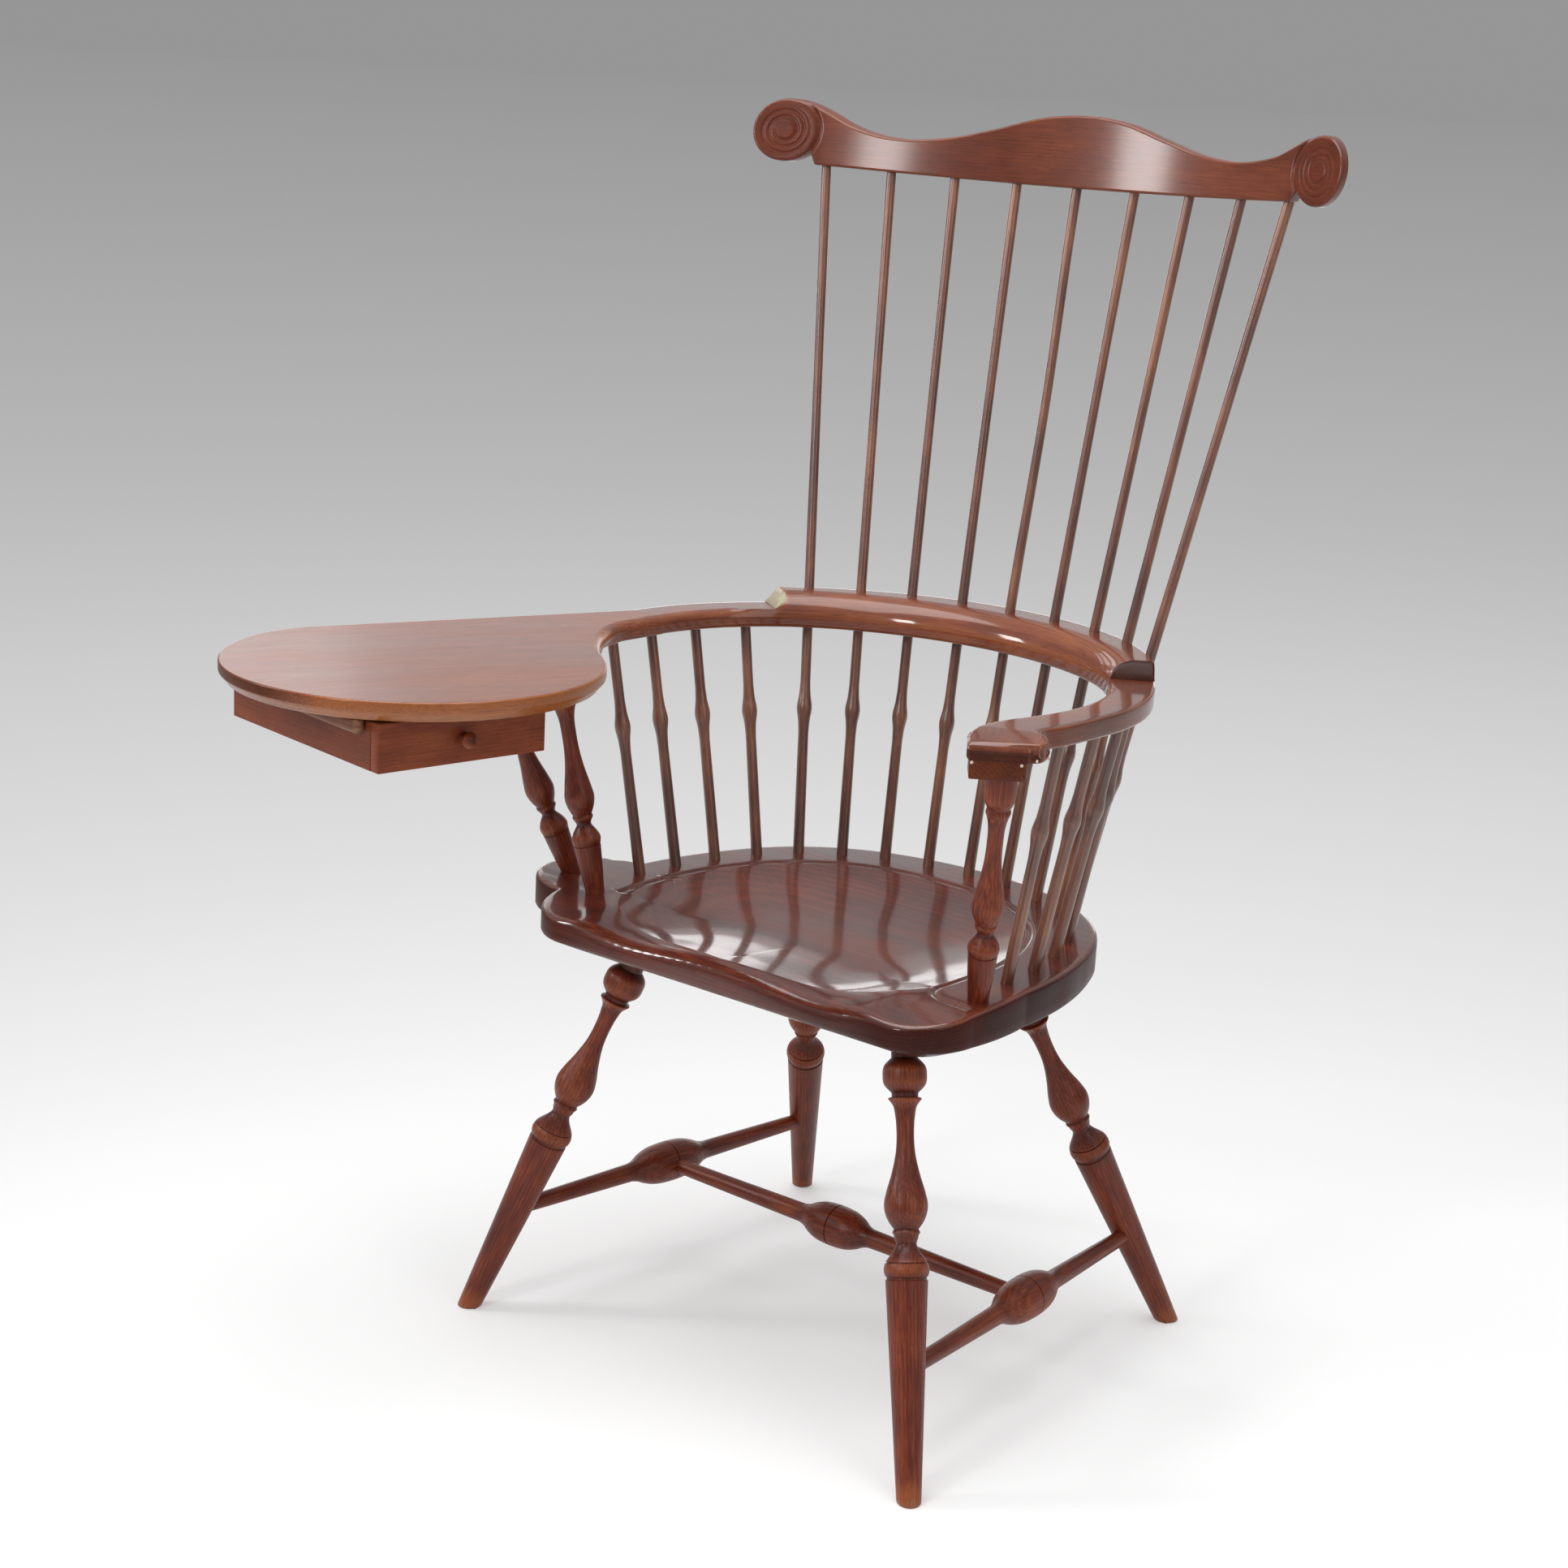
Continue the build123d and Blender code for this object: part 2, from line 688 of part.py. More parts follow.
def knuckle_block():
    turn = degrees(atan2(-cos(radians(hand_turn)), sin(radians(hand_turn))))
    width = hand_width - 2 * knuckle_side_gap
    body = Pos(-knuckle_setback - knuckle_depth / 2, 0, -knuckle_height / 2) * \
        Box(knuckle_depth, width, knuckle_height)
    front = [e for e in body.edges() if e.center().X > -knuckle_setback - 0.01
             and abs(e.length - width) < 0.01 and e.center().Z < -knuckle_height / 2]
    body = fillet(front, knuckle_roll)
    body = Pos(*hand_front, arm_under) * Rot(0, 0, turn) * body
    return body - socket(stump_line()[1], stump_tip(), post_tenon_r)


def stump_line():
    foot = Vector(seat_half_width - stump_inset[0], stump_inset[1] - seat_front, seat_height)
    turn = radians(hand_turn)
    x = hand_front[0] - stump_setback * sin(turn) + stump_outset
    y = hand_front[1] + stump_setback * cos(turn)
    return foot, Vector(x, y, arm_under - knuckle_height)


def stump_tip():
    foot, head = stump_line()
    return head + (head - foot).normalized() * stump_head_tenon


def front_post_line():
    foot = Vector(front_post_inset[0] - seat_half_width, front_post_inset[1] - seat_front, seat_height)
    return foot, Vector(*front_post_head, arm_under)


def back_post_line():
    foot = Vector(lobe_centre[0] + back_post_offset[0], lobe_centre[1] + back_post_offset[1], seat_height)
    return foot, Vector(*back_post_head, arm_under)


def post_runs(length, head_tenon):
    base = post_torus_at - 6
    return [
        [(-post_tenon_depth, post_tenon_r), (0, post_tenon_r)],
        [(0, post_tenon_r), (1.5, post_base_r)],
        [(1.5, post_base_r), (base / 2, post_base_r + 2.2), (base, post_torus_r - 0.9)],
        [(base, post_torus_r - 0.9), (post_torus_at, post_torus_r),
         (post_torus_at + 5, post_torus_r - 1.8), (post_cove_at - 4, post_cove_r + 2.4),
         (post_cove_at, post_cove_r), (post_ring_at - 3, post_ring_r - 1.6)],
        [(post_ring_at - 3, post_ring_r - 1.6), (post_ring_at, post_ring_r),
         (post_ring_at + 2.5, post_ring_r - 0.8)],
        [(post_ring_at + 2.5, post_ring_r - 0.8), (post_vase_at - 8, post_vase_r - 1.6),
         (post_vase_at, post_vase_r), (post_vase_at + 12, post_vase_r - 1.5),
         (post_vase_at + 30, post_neck_r + 2.6), (post_neck_at - 16, post_neck_r + 0.5),
         (post_neck_at, post_neck_r), (post_cup_at - 13, post_neck_r + 1.4),
         (post_cup_at - 7, post_neck_r + 3.0)],
        [(post_cup_at - 7, post_neck_r + 3.0), (post_cup_at, post_neck_r + 3.3)],
        [(post_cup_at, post_neck_r + 3.3), (post_cup_at + 7, post_cup_r - 1.0),
         (post_cup_at + 14, post_cup_r)],
        [(post_cup_at + 14, post_cup_r), (length - post_shoulder_gap, post_cup_r)],
        [(length - post_shoulder_gap, post_cup_r), (length - post_shoulder_gap, post_tenon_r)],
        [(length - post_shoulder_gap, post_tenon_r), (length + head_tenon, post_tenon_r)],
    ]


def post(line, head_tenon):
    foot, head = line
    body = turned(foot, head, post_runs((head - foot).length, head_tenon))
    return trim_post(body, foot, head)


def trim_post(body, foot, head):
    # the turned shoulders end flat against the seat and the arm
    along = (head - foot).normalized()
    low_tenon = rod(foot - along * (post_tenon_depth + 1), head, post_tenon_r)
    high_tenon = rod(foot, head + along * 2 * post_cup_r, post_tenon_r)
    body -= shoulder(foot, 2 * post_cup_r, -1) - low_tenon
    return body - (shoulder(head, 2 * post_cup_r, 1) - high_tenon)


def shoulder(point, half, way):
    # cutter above (way 1) or below (way -1) a level face through the point
    return Pos(point.X, point.Y, point.Z + way * half) * Box(2 * half, 2 * half, 2 * half)


# Writing tablet

def tablet_outline():
    start = Vector(-arm_outer_x, corner_y)
    centre = Vector(*tablet_centre)
    reach = centre - start
    lean = asin((tablet_r - tablet_flat) / hypot(reach.X, reach.Y))
    heading = atan2(reach.Y, reach.X) - lean
    along = Vector(cos(heading), sin(heading))
    inward = Vector(-along.Y, along.X)
    run = sqrt(hypot(reach.X, reach.Y)**2 - (tablet_r - tablet_flat)**2)
    gap = tablet_r - tablet_blend_r
    extra = sqrt(gap**2 - (gap - tablet_flat)**2)
    line_end = start + along * (run + extra)
    blend_centre = line_end + inward * tablet_blend_r
    outward = (blend_centre - centre).normalized()
    join = centre + outward * tablet_r
    middle = blend_centre + (outward - inward).normalized() * tablet_blend_r
    leave = radians(tablet_leave)
    join_angle = degrees(atan2(outward.Y, outward.X))
    sweep = (tablet_leave - join_angle) % 360
    leave_point = (centre.X + tablet_r * cos(leave), centre.Y + tablet_r * sin(leave))
    leave_way = (-sin(leave), cos(leave))
    neck_end = (-arm_inner_x, tablet_neck_end)
    return make_face(Wire([
        Line((start.X, start.Y), (line_end.X, line_end.Y)),
        ThreePointArc(line_end, middle, join),
        CenterArc(tablet_centre, tablet_r, join_angle, sweep),
        Spline(leave_point, tablet_shoulder, tablet_throat, tablet_notch,
               tangents=[leave_way, (-0.1, 1)]),
        Spline(tablet_notch, tablet_neck, neck_end, tangents=[(-0.8, 0.6), (0, 1)]),
        Line(neck_end, (-arm_inner_x, corner_y)),
        Line((-arm_inner_x, corner_y), (start.X, start.Y)),
    ]))


def writing_tablet():
    body = Pos(0, 0, arm_under) * extrude(tablet_outline(), arm_thickness)
    low = [e for e in body.edges() if e.center().Z < arm_under + 0.01]
    rim = [e for e in low if e.center().Y < tablet_notch[1] - 1]
    bottom = body.faces().sort_by(Axis.Z)[0]
    body = chamfer(rim, tablet_bevel, tablet_bevel_height, reference=bottom)
    for foot, head in (front_post_line(), back_post_line()):
        along = (head - foot).normalized()
        body -= socket(head, head + along * post_head_tenon, post_tenon_r)
    for foot, head in short_lines(-1):
        along = (head - foot).normalized()
        body -= socket(head, head + along * spindle_arm_depth, spindle_rail_r)
    for cut in screw_solids(fit):
        body -= cut
    return body - tablet_dowel_cuts()


def tablet_dowel_solids(grow, half):
    solids = []
    for share in (tablet_dowel_share, 1 - tablet_dowel_share):
        x = -arm_inner_x - share * arm_width
        mid = Vector(x, corner_y, arm_under + arm_thickness / 2)
        solids.append(rod(mid - Vector(0, half, 0), mid + Vector(0, half, 0), dowel_r + grow))
    return solids


def tablet_dowel_cuts():
    return Compound(tablet_dowel_solids(fit, dowel_half + end_gap))


def rail_dowels():
    return Compound(tablet_dowel_solids(0, dowel_half) + [joint_dowel(0, dowel_half)])


# Comb

def comb_outline():
    points = [(-comb_half, comb_wing), (-comb_dip_at, comb_dip), (0, comb_crown),
              (comb_dip_at, comb_dip), (comb_half, comb_wing)]
    top = Spline(*points)
    right = Line((comb_half, comb_wing), (comb_half, comb_rise))
    bottom = ThreePointArc((comb_half, comb_rise), (0, 0), (-comb_half, comb_rise))
    left = Line((-comb_half, comb_rise), (-comb_half, comb_wing))
    board = make_face(Wire([top, right, bottom, left]))
    for side in (-1, 1):
        board += Pos(side * ear_at, ear_height) * Circle(ear_r)
    return board


def bowed_sheet(inner_r, outer_r, low, high):
    # upright sheet that is bowed in plan and leans back with the spindles
    reach = degrees(asin((ear_at + 2 * ear_r) / comb_bow_r))
    lean = Vector(0, back_lean, 1)
    base = Vector(0, comb_bow_y, comb_under) + lean * low
    sector = make_face(Wire([
        CenterArc((0, 0), outer_r, 90 - reach, 2 * reach),
        Line(ray(90 + reach, outer_r), ray(90 + reach, inner_r)),
        CenterArc((0, 0), inner_r, 90 - reach, 2 * reach),
        Line(ray(90 - reach, inner_r), ray(90 - reach, outer_r)),
    ]))
    sheet = extrude(sector, (lean * (high - low)).length, dir=lean)
    return Pos(base.X, base.Y, base.Z) * sheet


def ray(angle, radius):
    return (radius * cos(radians(angle)), radius * sin(radians(angle)))


def comb():
    half = comb_thickness / 2
    tall = ear_height + ear_r + comb_crown
    sheet = bowed_sheet(comb_bow_r - half, comb_bow_r + half, -ear_r, tall)
    front = Plane(origin=(0, comb_bow_y, comb_under), x_dir=(1, 0, 0), z_dir=(0, -1, 0))
    board = extrude(front * comb_outline(), -2 * comb_bow_r)
    body = sheet & board
    face_r = comb_bow_r - half
    proud = bowed_sheet(face_r - ear_boss_height, face_r + half, -ear_r, tall)
    for side in (-1, 1):
        disc = front * (Pos(side * ear_at, ear_height) * Circle(ear_boss_r))
        body += proud & extrude(disc, -2 * comb_bow_r)
    for foot, head in long_lines():
        along = (head - foot).normalized()
        body -= socket(head, head + along * comb_socket_depth, spindle_top_r, overrun=2 * comb_rise)
    return body


# Drawer

def in_drawer(x, y, z):
    # x counts back from the drawer's face, y across it, z up from its base
    turn = radians(drawer_turn)
    return Vector(drawer_face[0] - x * cos(turn) - y * sin(turn),
                  drawer_face[1] - x * sin(turn) + y * cos(turn), drawer_base + z)


def drawer_place():
    return Pos(*drawer_face, drawer_base) * Rot(0, 0, drawer_turn)


def block(x_range, y_range, z_range):
    # x counts back from the drawer's face
    size = [high - low for low, high in (x_range, y_range, z_range)]
    mid = [(high + low) / 2 for low, high in (x_range, y_range, z_range)]
    return drawer_place() * Pos(-mid[0], mid[1], mid[2]) * Box(*size)


def groove_height():
    # tongue and groove heights, above the drawer's base
    top = drawer_height + drawer_gap - tongue_drop
    return top - tongue_height, top


def bottom_panel(grow):
    low = drawer_bottom_rise - grow
    high = drawer_bottom_rise + drawer_bottom_thickness + grow
    half = drawer_width / 2 - drawer_side_thickness + drawer_groove + grow
    front = drawer_front_thickness - drawer_groove - grow
    back = drawer_depth - drawer_panel_setback + grow
    return block((front, back), (-half, half), (low, high))


def drawer_front():
    half = drawer_width / 2
    body = block((0, drawer_front_thickness), (-half, half), (0, drawer_height))
    return body - bottom_panel(fit) - socket(in_drawer(0, 0, drawer_height / 2),
                                             in_drawer(knob_tenon, 0, drawer_height / 2), knob_neck_r)


def drawer_side(side):
    outer = drawer_width / 2
    inner = outer - drawer_side_thickness
    low, high = groove_height()
    body = block((drawer_front_thickness, drawer_depth), (inner, outer), (0, drawer_height))
    body -= block((drawer_front_thickness, drawer_depth + 1), (outer - tongue_depth - drawer_play, outer + 1),
                  (low - drawer_play, high + drawer_play))
    if side < 0:
        body = across_drawer(body)
    return body - bottom_panel(fit)


def across_drawer(body):
    middle = Plane(origin=in_drawer(0, 0, 0), z_dir=in_drawer(0, 1, 0) - in_drawer(0, 0, 0))
    return mirror(body, middle)


def drawer_back():
    half = drawer_width / 2 - drawer_side_thickness
    low = drawer_bottom_rise + drawer_bottom_thickness + fit
    return block((drawer_depth - drawer_back_thickness, drawer_depth), (-half, half), (low, drawer_height))


def drawer_knob():
    mid = drawer_height / 2
    start = in_drawer(knob_tenon, 0, mid)
    end = in_drawer(-knob_length, 0, mid)
    face = knob_tenon
    tip = knob_tenon + knob_length
    runs = [
        [(0, knob_neck_r), (face + 0.3, knob_neck_r)],
        [(face + 0.3, knob_neck_r), (face + 0.3, knob_neck_r + 1.6)],
        [(face + 0.3, knob_neck_r + 1.6), (face + 2.5, knob_neck_r + 1.2), (face + 4.5, knob_neck_r)],
        [(face + 4.5, knob_neck_r), (face + 6.5, knob_r - 1.6), (face + 9.5, knob_r),
         (tip - 3, knob_r - 1.3), (tip - 0.6, knob_r - 4.2)],
        [(tip - 0.6, knob_r - 4.2), (tip, 0.4)],
    ]
    return turned(start, end, runs)


def cleat(side):
    low, high = groove_height()
    inner = drawer_width / 2 + drawer_play
    outer = inner + cleat_width
    top = drawer_height + drawer_gap
    start, end = cleat_setback, cleat_setback + cleat_length
    body = block((start, end), (inner, outer), (top - cleat_height, top))
    corner = [e for e in body.edges() if e.length > cleat_length - 0.01
              and e.center().Z < arm_under - cleat_height / 2
              and (e.center() - in_drawer(0, 0, 0)).dot(in_drawer(0, 1, 0) - in_drawer(0, 0, 0)) > inner + 1]
    body = fillet(corner, cleat_round)
    body += block((start, end), (inner - tongue_depth, inner + 1), (low, high))
    if side < 0:
        body = across_drawer(body)
    for cut in screw_solids(fit):
        body -= cut
    return body


def screw_solids(grow):
    solids = []
    bottom = drawer_height + drawer_gap - cleat_height
    top = drawer_height + drawer_gap + screw_bite
    across = drawer_width / 2 + drawer_play + cleat_width / 2
    step = (cleat_length - 2 * screw_end) / (screw_count - 1)
    for side in (-1, 1):
        for index in range(screw_count):
            x = cleat_setback + screw_end + index * step
            low = in_drawer(x, side * across, bottom + screw_sunk)
            high = in_drawer(x, side * across, top)
            length = (high - low).length + grow
            overrun = 20 * grow
            solids.append(turned(low, high, [
                [(-overrun, screw_head_r + grow), (screw_sunk, screw_head_r + grow)],
                [(screw_sunk, screw_head_r + grow), (screw_head_length, screw_r + grow)],
                [(screw_head_length, screw_r + grow), (length, screw_r + grow)],
            ]))
    return solids


def build_all():
    pieces = {"seat": seat()}
    for name in leg_lines():
        pieces[name] = leg(name)
    pieces["side_stretcher_left"] = side_stretcher(1)
    pieces["side_stretcher_right"] = side_stretcher(-1)
    pieces["centre_stretcher"] = centre_stretcher()
    pieces["arm_left"] = arm_left()
    pieces["arm_right"] = arm_right()
    pieces["arm_crest"] = arm_crest()
    pieces["knuckle_block"] = knuckle_block()
    pieces["arm_stump"] = post(stump_line(), stump_head_tenon)
    pieces["tablet_post_front"] = post(front_post_line(), post_head_tenon)
    pieces["tablet_post_back"] = post(back_post_line(), post_head_tenon)
    pieces["writing_tablet"] = writing_tablet()
    pieces["comb"] = comb()
    for index in range(2 * long_count + 1):
        pieces[f"long_spindle_{index + 1}"] = long_spindle(index)
    for index in range(short_count):
        pieces[f"short_spindle_left_{index + 1}"] = short_spindle(1, index)
        pieces[f"short_spindle_right_{index + 1}"] = short_spindle(-1, index)
    pieces["crest_dowels"] = crest_dowels()
    pieces["rail_dowels"] = rail_dowels()
    pieces["drawer_front"] = drawer_front()
    pieces["drawer_side_left"] = drawer_side(1)
    pieces["drawer_side_right"] = drawer_side(-1)
    pieces["drawer_back"] = drawer_back()
    pieces["drawer_bottom"] = bottom_panel(0)
    pieces["drawer_knob"] = drawer_knob()
    pieces["cleat_left"] = cleat(1)
    pieces["cleat_right"] = cleat(-1)
    pieces["cleat_screws"] = Compound(screw_solids(0))
    return pieces


pieces = build_all()
overall = Compound(list(pieces.values())).bounding_box()
shift = Vector(-overall.center().X, -overall.center().Y, -overall.min.Z)
print("origin shift", shift)
os.makedirs("parts", exist_ok=True)
for name, piece in pieces.items():
    export_step(Pos(*shift) * piece, f"parts/{name}.step")
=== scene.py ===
from math import asin, atan2, cos, degrees, hypot, pi, radians, sin, sqrt
import bmesh
import bpy
import numpy as np
from mathutils import Matrix, Vector


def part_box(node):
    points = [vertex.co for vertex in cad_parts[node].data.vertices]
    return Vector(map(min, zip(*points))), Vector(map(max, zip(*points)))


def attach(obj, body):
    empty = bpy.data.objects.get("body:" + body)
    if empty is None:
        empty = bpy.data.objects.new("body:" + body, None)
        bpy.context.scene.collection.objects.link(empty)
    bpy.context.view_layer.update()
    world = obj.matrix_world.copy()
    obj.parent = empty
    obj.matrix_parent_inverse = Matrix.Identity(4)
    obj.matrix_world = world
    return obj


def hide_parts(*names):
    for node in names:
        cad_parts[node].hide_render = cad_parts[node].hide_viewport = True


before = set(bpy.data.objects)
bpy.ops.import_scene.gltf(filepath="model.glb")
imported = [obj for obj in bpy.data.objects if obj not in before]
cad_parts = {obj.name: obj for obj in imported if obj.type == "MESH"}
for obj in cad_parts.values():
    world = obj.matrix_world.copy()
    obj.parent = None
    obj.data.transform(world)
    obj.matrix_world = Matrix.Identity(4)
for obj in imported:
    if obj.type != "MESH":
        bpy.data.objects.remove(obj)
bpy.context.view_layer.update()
print("frame loaded", len(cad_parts), "nodes")

# Lengths are in millimetres from the seat's own origin: x to the sitter's left, y to the back.
seatLow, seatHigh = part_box("seat")
seatHalfWidth, seatFront = 256.0, 212.0
chairOrigin = np.array([seatHigh.x * 1000 - seatHalfWidth, seatLow.y * 1000 + seatFront, 0.0])
seatTop, seatUnder = 438.0, 390.0
armUnder, armTop, crestTop, combUnder = 676.5, 695.5, 711.5, 1135.0
bothSides = {"left": 1, "right": -1}
flip = np.array([-1, 1])
drawerNodes = ["drawer_front", "drawer_side_left", "drawer_side_right", "drawer_back",
               "drawer_bottom", "drawer_knob"]


# small helpers for numbers and meshes

def smoothStep(value):
    value = np.clip(value, 0.0, 1.0)
    return value * value * (3 - 2 * value)


def bell(value):
    return np.exp(-value**2)


def unit(angle):
    # direction in the plane at an angle in radians
    return np.stack([np.cos(angle), np.sin(angle)], -1)


def arcPoints(centre, radius, start, end, count):
    return np.asarray(centre) + radius * unit(np.radians(np.linspace(start, end, count)))


def smoothCurve(points, step):
    # smooth curve through points with growing x, sampled about every step
    xs, ys = np.array(points, float).T
    slopes = np.gradient(ys, xs)
    curve = []
    for i, width in enumerate(np.diff(xs)):
        t = np.linspace(0, 1, max(2, int(round(width / step))), endpoint=False)
        y = (2 * t**3 - 3 * t**2 + 1) * ys[i] + (3 * t**2 - 2 * t**3) * ys[i + 1]
        y += width * ((t**3 - 2 * t**2 + t) * slopes[i] + (t**3 - t**2) * slopes[i + 1])
        curve += zip(xs[i] + t * width, y)
    return np.array(curve + [(xs[-1], ys[-1])])


def pathLengths(line):
    return np.concatenate([[0], np.cumsum(np.hypot(*np.diff(line, axis=0).T))])


def alongLine(line, places):
    # points of a line at those lengths from its start
    return np.column_stack([np.interp(places, pathLengths(line), part) for part in np.transpose(line)])


def evenly(line, count):
    return alongLine(line, np.linspace(0, pathLengths(line)[-1], count))


def throughPoints(points, step):
    # smooth open line through points in the plane
    lengths = pathLengths(points)
    parts = [np.column_stack([lengths, part]) for part in np.transpose(points)]
    return np.column_stack([smoothCurve(part, step)[:, 1] for part in parts])


def lineDistance(points, line):
    # distance of each point from a line of points
    best = np.full(len(points), 1e9)
    for a, b in zip(line[:-1], line[1:]):
        along = b - a
        t = np.clip(((points - a) @ along) / (along @ along), 0, 1)
        best = np.minimum(best, np.hypot(*(points - a - t[:, None] * along).T))
    return best


def insidePolygon(points, line):
    inside = np.zeros(len(points), bool)
    closed = np.vstack([line, line[:1]])
    for a, b in zip(closed[:-1], closed[1:]):
        crosses = (a[1] > points[:, 1]) != (b[1] > points[:, 1])
        reach = a[0] + (points[:, 1] - a[1]) * (b[0] - a[0]) / (b[1] - a[1] + 1e-12)
        inside ^= crosses & (points[:, 0] < reach)
    return inside


def gridFaces(rows, columns, fans=False):
    # rings of points one after the other, closed by flat ends, or by fans to two more points
    around = [(j, (j + 1) % columns) for j in range(columns)]
    last = (rows - 1) * columns
    faces = [(i + j, i + k, i + columns + k, i + columns + j)
             for i in range(0, last, columns) for j, k in around]
    if not fans:
        return faces + [tuple(range(columns))[::-1], tuple(range(last, last + columns))]
    end = last + columns
    return faces + [(end, k, j) for j, k in around] + [(end + 1, last + j, last + k) for j, k in around]


def pieceName(node):
    return node.title().replace("_", "")


def makePiece(node, look, verts, faces, grain, wearAndLight, sharp=38.0, name=None, onFloor=False):
    # verts and grain in mm; grain's third number runs along the wood's fibres
    name = name or pieceName(node)
    mesh = bpy.data.meshes.new(name)
    mesh.from_pydata(((verts + chairOrigin) / 1000).tolist(), [], faces)
    mesh.attributes.new("grain", "FLOAT_VECTOR", "POINT").data.foreach_set(
        "vector", (grain / 1000).astype(np.float32).ravel())
    mesh.attributes.new("wearAndLight", "FLOAT", "POINT").data.foreach_set("value", wearAndLight.astype(np.float32))
    bm = bmesh.new()
    bm.from_mesh(mesh)
    bmesh.ops.remove_doubles(bm, verts=bm.verts, dist=0.00001)
    if onFloor:
        cutAtFloor(bm)
    bmesh.ops.recalc_face_normals(bm, faces=bm.faces)
    bm.to_mesh(mesh)
    bm.free()
    mesh.shade_smooth()
    mesh.set_sharp_from_angle(angle=radians(sharp))
    piece = bpy.data.objects.new(name, mesh)
    bpy.context.scene.collection.objects.link(piece)
    mesh.materials.append(materials[look])
    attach(piece, "drawer" if node in drawerNodes else "chair")
    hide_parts(node)


def cutAtFloor(bm):
    # level sole with a small rounding
    cut = bmesh.ops.bisect_plane(bm, geom=bm.verts[:] + bm.edges[:] + bm.faces[:], plane_co=(0, 0, 0),
                                 plane_no=(0, 0, -1), clear_outer=True)
    rim = [e for e in cut["geom_cut"] if isinstance(e, bmesh.types.BMEdge)]
    bmesh.ops.edgeloop_fill(bm, edges=rim)
    bmesh.ops.bevel(bm, geom=rim, offset=0.0022, segments=3, affect="EDGES", profile=0.5)


def levelGrain(verts, turn, pith):
    # wood coordinates of points for level fibres at that angle
    c, s = unit(radians(turn))
    return verts @ np.array([(-s, c, 0), (0, 0, 1), (c, s, 0)]).T + pith


# materials

def linear(code):
    # sRGB hex to the linear colour that a shader takes
    parts = [int(code[i:i + 2], 16) / 255 for i in (1, 3, 5)]
    return tuple(p / 12.92 if p <= 0.04045 else ((p + 0.055) / 1.055) ** 2.4 for p in parts) + (1.0,)


def addNode(tree, kind, inputs=None, stops=(), **settings):
    # an input is a value, an output, or a node whose first output it takes
    node = tree.nodes.new("ShaderNode" + kind)
    for key, value in settings.items():
        setattr(node, key, value)
    if stops:
        ramp = node.color_ramp
        while len(ramp.elements) < len(stops):
            ramp.elements.new(0.5)
        for element, (place, shade) in zip(ramp.elements, stops):
            element.position = place
            element.color = linear(shade)
    for key, value in (inputs or {}).items():
        if isinstance(value, bpy.types.Node):
            value = value.outputs[0]
        if isinstance(value, bpy.types.NodeSocket):
            tree.links.new(value, node.inputs[key])
        else:
            node.inputs[key].default_value = value
    return node


def emptyTree(owner):
    # node tree of a material or world, ready for new nodes
    owner.use_nodes = True
    owner.node_tree.nodes.clear()
    return owner.node_tree


